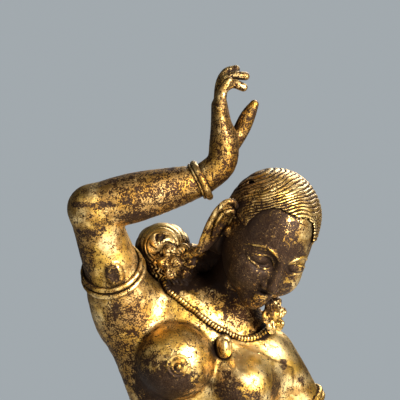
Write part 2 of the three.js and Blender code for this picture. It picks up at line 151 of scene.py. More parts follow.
def ring(centre, axis, radius, wire):
    axis = unit(axis)

    def measure(p):
        v = p - centre
        h = v @ axis
        flat = np.sqrt(np.maximum((v**2).sum(1) - h**2, 0)) - radius
        return np.sqrt(flat**2 + h**2) - wire

    reach = radius + wire
    return Form(centre - reach, centre + reach, measure)


# everything on the far side of a plane from its normal
def behind(point, normal):
    normal = unit(normal)
    return Form(at(-1e3, -1e3, -1e3), at(1e3, 1e3, 1e3), lambda p: (p - point) @ normal)


far = 6.0  # beyond this distance nothing is measured


# forms joined and cut in order, each with its own softness where it meets the rest
class Wax(Form):
    margin = 1.5  # how far beyond its own box a form is still measured

    def __init__(self):
        self.steps = []
        super().__init__([1e3] * 3, [-1e3] * 3, self.measureAll)

    def add(self, form, soft=0.0):
        self.steps.append(("add", form, soft))
        self.low, self.high = np.minimum(self.low, form.low), np.maximum(self.high, form.high)
        return self

    def cut(self, form, soft=0.0):
        self.steps.append(("cut", form, soft))
        return self

    def keep(self, form, soft=0.0):
        self.steps.append(("keep", form, soft))
        return self

    def measureAll(self, p):
        d = np.full(len(p), far)
        for what, form, soft in self.steps:
            margin = soft + self.margin
            near = np.all((p > form.low - margin) & (p < form.high + margin), axis=1)
            if not near.any():
                continue
            e = form.measure(p[near])
            k = max(soft, 1e-6)
            if what == "add":
                h = np.maximum(k - np.abs(d[near] - e), 0) / k
                d[near] = np.minimum(d[near], e) - h * h * k / 4
            else:
                e = -e if what == "cut" else e
                h = np.maximum(k - np.abs(d[near] - e), 0) / k
                d[near] = np.maximum(d[near], e) + h * h * k / 4
        return d


# the surface of a form on an even grid, as points and triangles
def netOf(form, cell):
    low, high = form.low - 2 * cell, form.high + 2 * cell
    coarse = 4  # first on every fourth point, then on all the points near the surface
    size = (np.ceil((high - low) / (coarse * cell)).astype(int) + 1) * coarse
    axes = [low[i] + cell * np.arange(size[i] + 1) for i in range(3)]
    sparse = [ax[::coarse] for ax in axes]
    grid = np.stack(np.meshgrid(*sparse, indexing="ij"), -1)
    rough = form.measure(grid.reshape(-1, 3)).reshape(grid.shape[:3])
    close = np.abs(rough) < coarse * cell * 1.9 + 0.8  # 0.8 mm to spare, as forms measure roughly
    wide = np.zeros(tuple(size + 1), bool)
    for i, j, k in zip(*np.nonzero(close)):
        wide[tuple(slice(max(0, (c - 1) * coarse), (c + 1) * coarse + 1) for c in (i, j, k))] = True
    values = np.repeat(np.repeat(np.repeat(rough, coarse, 0), coarse, 1), coarse, 2)
    values = values[: size[0] + 1, : size[1] + 1, : size[2] + 1].copy()
    at3 = np.nonzero(wide)
    points = np.stack([axes[i][at3[i]] for i in range(3)], -1)
    values[at3] = form.measure(points)
    values[values == 0] = 1e-6
    inside = values < 0
    n = np.array(values.shape) - 1
    offsets = [(i, j, k) for i in (0, 1) for j in (0, 1) for k in (0, 1)]
    view = {o: tuple(slice(first, first + length) for first, length in zip(o, n)) for o in offsets}
    count = sum(inside[view[o]].astype(np.int8) for o in offsets)
    active = (count > 0) & (count < 8)
    cells = np.full(tuple(n), -1, np.int64)
    cells[active] = np.arange(active.sum())
    place = np.zeros((active.sum(), 3))
    hits = np.zeros(active.sum())
    for o in offsets:
        for axis in range(3):
            if o[axis]:
                continue
            e = list(o)
            e[axis] = 1
            v0, v1 = values[view[o]][active], values[view[tuple(e)]][active]
            crossing = (v0 < 0) != (v1 < 0)
            t = np.where(crossing, v0 / np.where(crossing, v0 - v1, 1), 0)
            step = np.tile(np.array(o, float), (len(t), 1))
            step[:, axis] += t
            place += step * crossing[:, None]
            hits += crossing
    vertices = low + cell * (np.stack(np.nonzero(active), -1) + place / hits[:, None])
    quads = []
    for axis in range(3):
        u, w = (axis + 1) % 3, (axis + 2) % 3
        first = [slice(1, length) for length in n]
        first[axis] = slice(0, n[axis])
        second = list(first)
        second[axis] = slice(1, n[axis] + 1)
        a, b = inside[tuple(first)], inside[tuple(second)]
        where = np.stack(np.nonzero(a != b), -1) + [s.start for s in first]
        flip = b[a != b]
        corner = []
        for du, dw in ((0, 0), (-1, 0), (-1, -1), (0, -1)):
            c = where.copy()
            c[:, u] += du
            c[:, w] += dw
            corner.append(cells[c[:, 0], c[:, 1], c[:, 2]])
        quad = np.stack(corner, -1)
        quad[flip] = quad[flip][:, ::-1]
        quads.append(quad)
    quads = np.concatenate(quads)
    p = vertices[quads]
    short = ((p[:, 0] - p[:, 2]) ** 2).sum(1) <= ((p[:, 1] - p[:, 3]) ** 2).sum(1)
    one = np.where(short[:, None], quads[:, [0, 1, 2]], quads[:, [1, 2, 3]])
    two = np.where(short[:, None], quads[:, [0, 2, 3]], quads[:, [1, 3, 0]])
    return vertices, np.concatenate([one, two])


# the distance from a form and the way out of it at each point, from four probes round the point
def probe(form, p, step=0.04):
    d, slope = np.zeros(len(p)), np.zeros_like(p)
    for corner in ((1, 1, 1), (1, -1, -1), (-1, 1, -1), (-1, -1, 1)):
        way = np.array(corner, float)
        e = form.measure(p + step * way)
        slope += e[:, None] * way / (4 * step)
        d += e / 4
    return d, slope


# moves points on to the surface of a form, most millimetres at a time
def settle(form, p, rounds=3, most=0.5):
    for _ in range(rounds):
        d, slope = probe(form, p)
        shift = slope * (d / np.maximum((slope**2).sum(1), 0.05))[:, None]
        size = lengthOf(shift)
        p = p - shift * np.minimum(1, most / np.maximum(size, 1e-9))[:, None]
    return p


# the way out of a mesh at each vertex
def normalsOf(p, faces):
    faces = np.asarray(faces)
    a, b, c = p[faces[:, 0]], p[faces[:, 1]], p[faces[:, 2]]
    if faces.shape[1] == 4:
        flat = np.cross(c - a, p[faces[:, 3]] - b)
    else:
        flat = np.cross(b - a, c - a)
    total = np.zeros_like(p)
    for corner in range(faces.shape[1]):
        for axis in range(3):
            total[:, axis] += np.bincount(faces[:, corner], flat[:, axis], len(p))
    return total / np.maximum(lengthOf(total), 1e-12)[:, None]


def edgesOf(tris):
    ends = np.sort(np.concatenate([tris[:, [0, 1]], tris[:, [1, 2]], tris[:, [2, 0]]]), axis=1)
    edges, where = np.unique(ends[:, 0] * (tris.max() + 1) + ends[:, 1], return_inverse=True)
    return np.stack([edges // (tris.max() + 1), edges % (tris.max() + 1)], -1), where.reshape(3, -1).T


# evens out the triangles along the surface
def relax(p, tris, rounds=2, strength=0.5):
    edges, _ = edgesOf(tris)
    count = np.bincount(edges.ravel(), minlength=len(p))
    for _ in range(rounds):
        total = np.zeros_like(p)
        for axis in range(3):
            for a, b in ((0, 1), (1, 0)):
                total[:, axis] += np.bincount(edges[:, a], p[edges[:, b], axis], len(p))
        shift = total / np.maximum(count, 1)[:, None] - p
        n = normalsOf(p, tris)
        p = p + strength * (shift - (shift * n).sum(1)[:, None] * n)
    return p


# splits every edge longer than wanted(its middle) and fits the triangles round it
def splitLong(p, tris, wanted):
    edges, of = edgesOf(tris)
    middle = (p[edges[:, 0]] + p[edges[:, 1]]) / 2
    long = lengthOf(p[edges[:, 0]] - p[edges[:, 1]]) > 1.35 * wanted(middle)
    fresh = np.full(len(edges), -1)
    fresh[long] = len(p) + np.arange(long.sum())
    p = np.concatenate([p, middle[long]])
    cutAt = fresh[of]  # the new point on sides 01, 12 and 20
    marks = (cutAt >= 0).astype(int)
    number = marks.sum(1)
    out = [tris[number == 0]]
    for turn in range(3):
        i, j, k = turn, (turn + 1) % 3, (turn + 2) % 3
        one = (number == 1) & (marks[:, i] == 1)
        t, m = tris[one], cutAt[one][:, i]
        out += [np.stack([t[:, i], m, t[:, k]], -1), np.stack([m, t[:, j], t[:, k]], -1)]
        two = (number == 2) & (marks[:, k] == 0)
        t, m, o = tris[two], cutAt[two][:, i], cutAt[two][:, j]
        i, j, k = t[:, i], t[:, j], t[:, k]
        out += [np.stack(corners, -1) for corners in ((m, j, o), (i, m, o), (i, o, k))]
    (i, j, k), (m, o, last) = tris[number == 3].T, cutAt[number == 3].T
    out += [np.stack(corners, -1) for corners in ((i, m, last), (m, j, o), (last, o, k), (m, o, last))]
    return p, np.concatenate(out), bool(long.any())


# the form as a mesh whose edges are as long as wanted says at each place
def castMesh(form, cell, wanted, rounds=3):
    p, tris = netOf(form, cell)
    p = settle(form, relax(settle(form, p, 2), tris), 1)
    for _ in range(rounds):
        p, tris, more = splitLong(p, tris, wanted)
        p = settle(form, relax(p, tris, 1), 1)
        if not more:
            break
    return settle(form, p, 1), tris


def meshObject(name, p, faces):
    mesh = bpy.data.meshes.new(name)
    mesh.from_pydata((np.asarray(p) * metre).tolist(), [], np.asarray(faces).tolist())
    mesh.polygons.foreach_set("use_smooth", [True] * len(mesh.polygons))
    mesh.update()
    made = bpy.data.objects.new(name, mesh)
    bpy.context.scene.collection.objects.link(made)
    return made


# smooth noise in [-1, 1], the same on every run
def cloudy(p, size, seed):
    q = p / size + 37.1 * seed
    cell = np.floor(q).astype(np.int64)
    t = q - cell
    t = t * t * (3 - 2 * t)
    total = np.zeros(len(p))
    for i in (0, 1):
        for j in (0, 1):
            for k in (0, 1):
                # a fixed scramble of the corner's place
                h = (cell + [i, j, k]) @ [374761393, 668265263, 2147483647]
                h = (h ^ (h >> 13)) * 1274126177 & 0x7FFFFFFF
                h = (h ^ (h >> 16)) & 0xFFFF
                share = np.where(i, t[:, 0], 1 - t[:, 0]) * np.where(j, t[:, 1], 1 - t[:, 1])
                total += share * np.where(k, t[:, 2], 1 - t[:, 2]) * h
    return total / 32767.5 - 1


def ramp(x, low, high):
    t = np.clip((np.asarray(x, float) - low) / (high - low), 0, 1)
    return t * t * (3 - 2 * t)


# the pose: the hips swing to the figure's right, the shoulders lean to its left
pose = {
    "neckBase": at(1, 1, 149),
    "shoulderLine": at(-3.4, 0.3, 142.4),
    "chest": at(-4.9, 0, 136),
    "waist": at(-8, 0.5, 117.5),
    "pelvis": at(-6, 1.2, 96),
    "right": {
        "shoulder": at(-20.8, -1.5, 145.6),
        "elbow": at(-28.5, -11.5, 170.6),
        "wrist": at(-4.6, -10, 176.6),
        "hip": at(-14, 1.2, 92),
        "knee": at(-20.5, -10, 58),
        "ankle": at(-10.5, 3, 23.5),
    },
    "left": {
        "shoulder": at(9.8, 3, 135.4),
        "elbow": at(23.6, 8, 113.4),
        "wrist": at(17.6, -6, 94.4),
        "hip": at(2.2, 1.2, 90.5),
        "knee": at(16, -13, 62),
        "ankle": at(7.5, -1, 29.5),
    },
}
right, left = pose["right"], pose["left"]
chestSide = at(math.cos(math.radians(8)), math.sin(math.radians(8)), 0)


def trunk():
    waist, pelvis, chest, line = (pose[k] for k in ("waist", "pelvis", "chest", "shoulderLine"))
    stations = [
        (pelvis + at(0.2, 0.8, -10), 13, 9),
        (pelvis + at(0, 0.2, -4), 17, 10.6),
        (pelvis, 17.8, 10.8),
        (mix(pelvis, waist, 0.35), 15.8, 9.7),
        (mix(pelvis, waist, 0.68), 12.4, 8.4),
        (waist, 11.2, 7.6),
        (mix(waist, chest, 0.3), 13, 7.9),
        (mix(waist, chest, 0.65), 16, 8.5),
        (chest, 18, 8.8),
        (line, 17.8, 7.4),
        (mix(line, pose["neckBase"], 0.7), 10.5, 5.8),
    ]
    return limb(stations, side=chestSide, perSpan=10)


breasts = [
    {"centre": at(-10.3, -8.2, 136.6), "radius": 8.5, "face": 5, "drop": 0, "blend": 1.4},
    {"centre": at(4.6, -5.2, 130.2), "radius": 7.5, "face": 30, "drop": 0.75, "blend": 3.5},
]


def breastInto(wax, b):
    turn = math.radians(b["face"])
    out = unit(at(math.sin(turn), -math.cos(turn), -b["drop"]))
    b["tip"] = b["centre"] + out * b["radius"]
    wax.add(ball(b["centre"], b["radius"]), b["blend"])
    wax.add(ring(b["tip"] - out * 0.35, out, 2.3, 0.26), 0.3)
    wax.add(ring(b["tip"] - out * 0.1, out, 1.35, 0.26), 0.3)
    wax.add(ball(b["tip"], 0.85), 0.3)


arms = {
    "right": {"shoulder": 6.8, "upper": 6.2, "elbow": 5.1, "fore": 5.4, "wrist": 3.4, "blend": 4},
    "left": {"shoulder": 7.2, "upper": 6.6, "elbow": 4.8, "fore": 5, "wrist": 3.3, "blend": 6},
}
plaque = {"centre": at(-23.6, -12, 156.3), "turn": -12, "size": (2.1, 1.3, 2.8)}


def armInto(wax, joints, girth):
    s, e, w = joints["shoulder"], joints["elbow"], joints["wrist"]
    upper = [
        (s, girth["shoulder"]),
        (mix(s, e, 0.2), girth["shoulder"] * 0.98),
        (mix(s, e, 0.45), girth["upper"]),
        (mix(s, e, 0.8), girth["upper"] * 0.88),
        (e, girth["elbow"]),
    ]
    fore = [
        (e, girth["elbow"] * 0.98),
        (mix(e, w, 0.22), girth["fore"]),
        (mix(e, w, 0.42), girth["fore"]),
        (mix(e, w, 0.7), girth["fore"] * 0.86),
        (w, girth["wrist"]),
    ]
    wax.add(limb(upper, side=(0, 1, 0)), girth["blend"])
    wax.add(limb(fore, side=(0, 1, 0)), 1.2)


def plaqueInto(wax):
    turn = turnAbout("y", plaque["turn"]) @ turnAbout("x", 20)
    wide, deep, tall = plaque["size"]
    wax.add(ball(plaque["centre"], plaque["size"], turn), 0.3)
    wax.cut(ball(plaque["centre"] - turn[:, 1] * deep, (wide * 0.72, 0.5, tall * 0.75), turn), 0.15)


def fingerOf(joints, radius, taper=0.25):
    last = len(joints) - 1
    return limb([(j, radius * (1 - taper * i / last)) for i, j in enumerate(joints)], side=(0, 1, 0))


# the raised hand stands up from the bent wrist, its palm to the figure's left, its fingers curling
raisedHand = {
    "palmDepth": -9.6,
    "pitch": 2.1,
    "finger": 1.25,
    "fingers": [
        [at(-0.4, 0, 192), at(0, 0, 196), at(1.4, 0, 198.4)],
        [at(-0.5, 0, 192), at(0, 0, 196.2), at(2.2, 0, 197.8), at(4.6, 0, 197)],
        [at(-0.6, 0, 192), at(-0.2, 0, 197), at(2, 0, 199.4), at(5.1, 0, 199.4)],
        [at(-0.7, 0, 192), at(-0.4, 0, 197.4), at(0.9, 0, 200.1), at(3, 0, 200.9)],
    ],
    "thumb": [
        (at(1.8, -6.6, 183), 1.5),
        (at(4.2, -5.8, 187.4), 1.8),
        (at(5.7, -6, 190.6), 1.65),
        (at(7.1, -6.4, 193.2), 1),
    ],
}


def raisedHandInto(wax, h):
    y = h["palmDepth"]
    palm = [
        (right["wrist"], 3.4, 3.4),
        (at(-0.3, -9.8, 180.2), 3.7, 3.3),
        (at(0.4, y, 185), 4.3, 3.2),
        (at(-0.2, y, 189), 4.4, 2.3),
        (at(-0.6, y, 193), 4.1, 1.8),
    ]
    wax.add(limb(palm, side=(0, 1, 0)), 1)
    for i, joints in enumerate(h["fingers"]):
        depth = at(0, y + (i - 1.5) * h["pitch"], 0)
        wax.add(fingerOf([j + depth for j in joints], h["finger"]), 0.7)
    wax.add(limb(h["thumb"]), 1)


# the lowered hand lies on the left thigh
def loweredHandInto(wax):
    palm, knuckles = at(14.8, -10.6, 89.4), at(12.4, -13, 85.2)
    side = unit(at(0.75, 0.45, -0.3))
    wrist = left["wrist"]
    back = [(wrist, 3.2), (mix(wrist, palm, 0.6), 3.9, 2.8), (palm, 4.5, 2.2), (knuckles, 4.3, 1.8)]
    wax.add(limb(back, side=side), 1)
    for i in range(4):
        root = knuckles + side * (i - 1.5) * 2.1
        joints = [root + at(0.6, 0.6, 1), root + at(-1.6, -1.5, -3), root + at(-3, -2.1, -6.2)]
        wax.add(fingerOf(joints, 1.26), 0.4)
    thumb = [at(13, -9.6, 91.6), at(9.4, -11.8, 90.4), at(6.8, -12.4, 87.8)]
    wax.add(fingerOf(thumb, 1.4), 0.6)


# legs, bare at the shins and clothed above
garment = {
    "depth": 0.7,
    "hem": 0.5,
    "sag": 2.7,
    "folds": (0.2, 0.425, 0.65),  # their places along the thigh
    "ridge": 0.8,
    "pitch": 2.2,  # of the fine folds between them
    "fine": 0.22,
}
calfSwell = at(0, 1.6, 0.4)


def legStations(j, extra):
    h, k, a = j["hip"], j["knee"], j["ankle"]
    return [
        (h, 9.8 + extra, 9.6 + extra),
        (mix(h, k, 0.35), 9.3 + extra),
        (mix(h, k, 0.75), 6.9 + extra),
        (k, 5.6 + extra),
        (mix(k, a, 0.3) + calfSwell, 5 + extra, 5.6 + extra),
        (mix(k, a, 0.65) + calfSwell * 0.5, 4 + extra, 4.3 + extra),
        (a, 3.1, 3.2),
    ]


def hemOf(j):
    return mix(j["knee"], j["ankle"], garment["hem"]) + calfSwell * 0.8


# the directions down a thigh, across it and out of its front
def thighFrame(j):
    down = unit(j["knee"] - j["hip"])
    across = unit(at(1, 0, 0) - down * down[0])
    return down, across, unit(np.cross(down, across))


# ridges of cloth that loop across the front of a thigh
def foldsInto(wax, j):
    down, across, out = thighFrame(j)
    for share in garment["folds"]:
        radius = 10.5 - 3 * share
        front = out * radius + down * garment["sag"]
        points = []
        for angle in np.radians([-75, -38, 0, 38, 75]):
            lean = across * radius * math.sin(angle) + front * math.cos(angle)
            points.append((mix(j["hip"], j["knee"], share) + lean, garment["ridge"]))
        wax.add(limb(points), 1.2)


belt = {"rise": 0.32, "tilt": at(-0.06, 0, 1), "wires": ((0.7, 0.75), (-0.7, 0.9))}  # wires: place, radius
beltCentre = mix(pose["pelvis"], pose["waist"], belt["rise"])
clasp = beltCentre + at(-0.4, -10.4, -0.6)


def clothWax():
    wax = Wax()
    pelvis, waist = pose["pelvis"], pose["waist"]
    hips = [
        (pelvis + at(0.2, 0.8, -10), 13.3, 9.4),
        (pelvis + at(0, 0.2, -4), 17.5, 11.1),
        (pelvis, 18.3, 11.3),
        (mix(pelvis, waist, 0.3), 16.6, 10.3),
        (mix(pelvis, waist, 0.5), 14.2, 9.2),
    ]
    wax.add(limb(hips, side=chestSide))
    for j in (right, left):
        depth = garment["depth"]
        dressed = legStations(j, depth)[:5] + [(hemOf(j), 5.4 + depth, 5.8 + depth)]
        leg = Wax().add(limb(dressed)).keep(behind(hemOf(j), j["ankle"] - j["knee"]), 0.5)
        wax.add(leg, 2.5)
        foldsInto(wax, j)
    pleat = [
        (clasp + at(0, 0.4, -1), 2, 1.2),
        (clasp + at(0.6, 0.2, -9), 2.6, 1.3),
        (clasp + at(1.2, 1.6, -21), 3.2, 1.4),
        (clasp + at(1.8, 2, -33), 3.8, 1.4),
        (clasp + at(2.2, 1.2, -44), 4.6, 1.5),
    ]
    wax.add(limb(pleat), 0.4)
    sash = [
        (at(-24.4, 0.4, 97), 2, 1.4),
        (at(-20.6, -8.8, 86), 2.2, 1.4),
        (at(-11.6, -12.6, 79.4), 2.3, 1.4),
        (at(-3.8, -9.6, 77.8), 2.3, 1.4),
        (at(4.4, -13.1, 79.3), 2.3, 1.4),
        (at(12, -10.4, 84.4), 2.2, 1.4),
        (at(12.6, 0, 92), 2, 1.4),
    ]
    wax.add(limb(sash, side=(0, 0, 1)), 0.5)
    return wax.keep(behind(beltCentre + at(0, 0, 0.5), belt["tilt"]), 0.4)


# heel and instep from the ankle, and the places of the ball of the foot and the toes
feet = [
    (at(0.9, 3, -4.4), at(-1.2, -3, -3.4), at(-14, -8, 18.1), at(-15.3, -12, 17.6)),
    (at(-1, 2.4, -3.4), at(1.2, -2.2, -4), at(12.2, -9, 19), at(14, -13, 17.6)),
]
soleLevel = 16.3


def footInto(wax, ankle, foot):
    heel, instep, toeRoot, toes = ankle + foot[0], ankle + foot[1], foot[2], foot[3]
    run = unit(toes - heel)
    side = unit(at(-run[1], run[0], 0))
    arch = [(heel, 3.2, 3), (instep, 3.5, 3.3), (toeRoot, 4.2, 2.1), (toes - run * 0.5, 3.7, 1.3)]
    wax.add(limb(arch, side=side), 1.5)
    outward = np.sign(toes[0]) * np.sign(side[0])
    for i in range(5):
        # the great toe is on the inner side
        place = side * outward * (1.6 * i - 3.0)
        size = 1.25 if i == 0 else 0.95 - 0.06 * i
        root = toes + place * 0.95 - at(0, 0, 0.2)
        tip = root + run * (2.3 - 0.35 * i)
        wax.add(limb([(root - run, size), (root + run * 0.8, size), (tip, size * 0.85)]), 0.3)


def feetWax():
    wax = Wax()
    for j, foot in zip((right, left), feet):
        wax.add(limb(legStations(j, 0)[3:]), 1)
        footInto(wax, j["ankle"], foot)
        along = unit(j["ankle"] - j["knee"])
        for step in (-0.6, 0.6):
            wax.add(ring(j["ankle"] + along * step, along, 3.2, 0.6), 0.15)
    return wax.keep(behind(at(0, 0, soleLevel), at(0, 0, -1)))


# the head's own frame: x to its left, -y out of the face, z to the crown
head = {"centre": at(9.8, -8, 164.6), "yaw": 26, "bow": 24, "incline": 17, "height": 28.5}
headTurn = turnAbout("y", head["incline"]) @ turnAbout("z", head["yaw"]) @ turnAbout("x", head["bow"])


def inHead(x, y, z):
    return headTurn @ at(x, y, z) + head["centre"]


def headBall(x, y, z, radii):
    return ball(inHead(x, y, z), radii, headTurn)


def headLimb(stations):
    return limb([(inHead(*s[:3]), *s[3:]) for s in stations], side=headTurn[:, 0])


# the face by thirds, chin to nose, nose to brow, brow to hair
third = 0.27 * head["height"]
chinLevel = -head["height"] / 2
noseLevel = chinLevel + third
mouthLevel = noseLevel - third / 3
browLevel = noseLevel + third
eyeLevel = browLevel - 0.22 * third
eyeApart = 0.152 * head["height"]


def skullWax():
    wax = Wax()
    wax.add(headBall(0, 0.3, 2.2, (9.2, 11.6, 11.8)))
    wax.add(headBall(0, -3.2, -4, (8.2, 8.4, 9.4)), 4)
    wax.add(headBall(0, -8.2, chinLevel + 2.5, (2.8, 2.4, 2.4)), 3)
    return wax


# thin raised lines laid on a form through points of the head's frame
def linesInto(wax, lines, wire, soft=0.12):
    drawn = []
    for points in lines:
        for hand in (-1, 1):
            line = np.array([inHead(hand * x, y, z) for x, y, z in points])
            line = curveThrough(line, np.linspace(0, 1, 4 * len(points)))
            line = settle(wax, line, 8)
            last = len(line) - 1
            girths = [wire * (0.45 + 0.55 * math.sin(math.pi * i / last)) for i in range(last + 1)]
            drawn.append(limb(list(zip(line, girths)), perSpan=1))
    for form in drawn:
        wax.add(form, soft)


def faceInto(wax):
    for hand in (-1, 1):
        wax.add(headBall(hand * 4.7, -7.3, noseLevel + 1.2, (3.2, 3.2, 3.6)), 3)
        wax.cut(headBall(hand * eyeApart, -12.0, eyeLevel - 0.2, (3.5, 2.4, 2.0)), 1.6)
        wax.add(headBall(hand * eyeApart, -8.5, eyeLevel - 0.3, (2.8, 2.1, 1.75)), 0.4)
    nose = [
        (0, -10.6, browLevel, 1.0, 0.8),
        (0, -11.5, browLevel - 2.4, 0.9, 0.9),
        (0, -12.2, noseLevel + 2.9, 1.1, 1.1),
        (0, -12.7, noseLevel + 1.1, 1.45, 1.3),
    ]
    wax.add(headLimb(nose), 1)
    for hand in (-1, 1):
        wax.add(headBall(hand * 1.45, -11.6, noseLevel + 0.75, (0.95, 1.1, 0.85)), 0.5)
        wax.cut(headBall(hand * 0.8, -12.4, noseLevel - 0.15, (0.42, 0.6, 0.3)), 0.25)
    # one half of each, from its corner to the middle
    lips = {
        "upper": [(-2.8, -9.5, 0.15, 0.3), (-1.4, -10.7, 0.45, 0.6, 0.75), (0, -11.1, 0.35, 0.55, 0.7)],
        "lower": [(-2.3, -9.6, -0.45, 0.35), (-1, -10.7, -0.85, 0.75), (0, -10.9, -0.95, 0.8)],
        "between": [(-3, -10, -0.1, 0.14), (0, -11.9, -0.2, 0.16)],
    }
    for part, half in lips.items():
        half = [(x, y, mouthLevel + z, *sizes) for x, y, z, *sizes in half]
        form = headLimb(half + [(-x, *rest) for x, *rest in half[-2::-1]])
        if part == "between":
            wax.cut(form, 0.2)
        else:
            wax.add(form, 0.35)
    brow = [(0.8, -11.5, -0.5), (2.6, -11, 0.9), (5.2, -10, 1.3), (8, -7, -0.9)]
    upperLid = [(1.7, -11, -0.4), (3.2, -11, 0.9), (5, -10.4, 1), (7.4, -8.4, -0.4)]
    lowerLid = [(1.6, -11, -0.7), (3, -11, -1.5), (5, -10.4, -1.6), (7.6, -8.4, -0.6)]
    lines = []
    for level, line in ((browLevel, brow), (eyeLevel, upperLid), (eyeLevel, lowerLid)):
        lines.append([(x, y, level + z) for x, y, z in line])
    linesInto(wax, lines, 0.32)


# a long ear: its blade, the rolled rim round it and the hollow of the shell
def earInto(wax, hand, shift, lobe):
    def place(x, y, z, *sizes):
        return (hand * (x + shift), y, z, *sizes)

    blade = [
        (10.8, 1.1, 4, 2.2, 0.7),
        (11.4, 1.2, 0.5, 2.6, 0.75),
        (11.6, 1.1, -3.5, 2.3, 0.7),
        (12, 0.7, -7.6, 1.4, 0.7),
    ]
    rim = [
        (9.6, 0.4, 4.4, 0.55),
        (11.2, 0.2, 5.6, 0.6),
        (12.9, 0.2, 4.9, 0.62),
        (13.9, 0.2, 2, 0.62),
        (13.8, 0.2, -1, 0.6),
        (13.6, 0.1, -5, 0.55),
        (12.8, 0, -8.4, 0.55),
    ]
    inner = [
        (9.3, 0, 2.4, 0.45),
        (10.6, -0.1, 3.6, 0.5),
        (12.3, 0, 2.2, 0.42),
        (12.3, 0.1, -1, 0.42),
        (11.4, 0, -4.4, 0.42),
    ]
    for rows, soft in ((blade, 0.6), (rim, 0.25), (inner, 0.25)):
        wax.add(headLimb([place(*row) for row in rows]), soft)
    wax.cut(headBall(hand * (10.9 + shift), -0.2, -0.6, (1.1, 1.2, 2.3)), 0.3)
    wax.add(headBall(hand * (9.3 + shift), -0.5, -1.4, (0.8, 0.9, 1.2)), 0.3)
    foot = inHead(*place(12.6, 0.2, -8))
    wax.add(limb([(foot, 0.9), (mix(foot, lobe, 0.6), 0.95), (lobe, 1.1)]), 0.5)


earrings = [
    {
        "hand": -1,
        "shift": 0.2,
        "lobe": at(-5.8, -9.4, 161),
        "centre": at(-10.1, -7.6, 158.4),
        "toward": at(-0.2, -1, 0.25),
    },
    {
        "hand": 1,
        "shift": -2.6,
        "lobe": at(11, -1.5, 153.8),
        "centre": at(11.6, -5.2, 146.6),
        "toward": at(0.85, -0.6, 0.1),
    },
]


# the side of the chest, drawn up by the raised arm
def drawnSide():
    s, e = right["shoulder"], right["elbow"]
    stations = [
        (s + at(6, 2.5, -16), 4, 6),
        (s + at(3.4, 2, -9), 5.6, 6.8),
        (s, 6.8, 6.9),
        (mix(s, e, 0.2), 6.4),
    ]
    return limb(stations)


def neck():
    base = pose["neckBase"]
    stations = [
        (base + at(-1, 0.6, -4), 9, 6.2),
        (base, 6.8, 6),
        (mix(base, inHead(0, 3, -8), 0.55), 5.6),
        (inHead(0, 2, -6), 5.8),
    ]
    return limb(stations, side=chestSide)


# where the neck of the body meets that of the head
def neckPlane():
    low, high = pose["neckBase"], inHead(0, 3, -8)
    return mix(low, high, 0.42), unit(high - low)


# the trunk down to the belt, the arms with their plaque, and the neck
def bodyWax():
    point, up = neckPlane()
    wax = Wax().add(trunk()).keep(behind(beltCentre - at(0, 0, 3), -belt["tilt"]))
    wax.add(drawnSide(), 4)
    armInto(wax, right, arms["right"])
    armInto(wax, left, arms["left"])
    wax.add(Wax().add(neck()).keep(behind(point + up * 0.5, up)), 2.5)
    for b in breasts:
        breastInto(wax, b)
    plaqueInto(wax)
    return wax


def headWax():
    point, up = neckPlane()
    skull = skullWax()
    faceInto(skull)
    wax = Wax().add(skull)
    wax.add(Wax().add(neck()).keep(behind(point, -up)), 0.8)
    for e in earrings:
        earInto(wax, e["hand"], e["shift"], e["lobe"])
        wax.add(limb([(e["lobe"], 1.1), (e["centre"] + at(0, 0.6, 0), 0.9)]), 0.4)
    return wax


# the hair: combed over the skull to a bun that rests on the right shoulder
hairStyle = {
    "depth": 0.8,
    "parting": 1.2,  # its side of the head's middle
    "line": {  # the hairline's reach to either side and upward, and how it bends
        "right": 10.1,
        "left": 5.0,
        "high": 11.6,
        "top": 10.6,
        "fall": 0.45,
        "behind": 1.2,
        "bend": 2.6,
    },
    "sideburn": {"right": 3.2, "left": 5.6},
    "front": {"y": -6.5, "z": -0.2, "radius": 11.6},
    "bun": at(-13.2, 1.5, 161),
    "bunSize": (6.2, 6.2, 5.4),
    "slit": at(6.8, -11.2, 176.4),  # a casting flaw
    "strands": 310,  # in a whole turn round the bun
    "strand": 0.13,
    "sag": 0.004,
    "turn": 9,  # where the strands turn over the head, and how widely
    "round": 3,
    "full": (21, 24.5),  # from the bun, where the strands fade and where they are full
    "ring": 0.76,
    "boss": (3.2, 2.6),
}


def swollen(form, by):
    return Form(form.low - by, form.high + by, lambda p: form.measure(p) - by)


# the bare face within the hairline: an arch seen from the front, and a shorter one from the side
def hairlineForm():
    line, front, sideburn = hairStyle["line"], hairStyle["front"], hairStyle["sideburn"]

    def measure(p):
        q = (p - head["centre"]) @ headTurn
        x = q[:, 0] - hairStyle["parting"]
        wide = np.where(x < 0, -x / line["right"], x / line["left"])
        rise, bend = q[:, 2] + line["fall"] * np.maximum(x - 1, 0), line["bend"]
        high = np.maximum(rise, 0) / line["high"]
        arch = ((wide**bend + high**bend) ** (1 / bend) - 1) * line["right"]
        arch = np.maximum(arch, rise - line["top"])
        level = mix(sideburn["right"], sideburn["left"], ramp(q[:, 0], -1, 1))
        arch = np.minimum(arch + 0.05 * cloudy(q, 1.1, 15), q[:, 2] - level)
        side = np.hypot(q[:, 1] - front["y"], q[:, 2] - front["z"]) - front["radius"]
        return np.maximum(np.maximum(arch, side), q[:, 1] - line["behind"])

    return Form(head["centre"] - 30, head["centre"] + 30, measure)


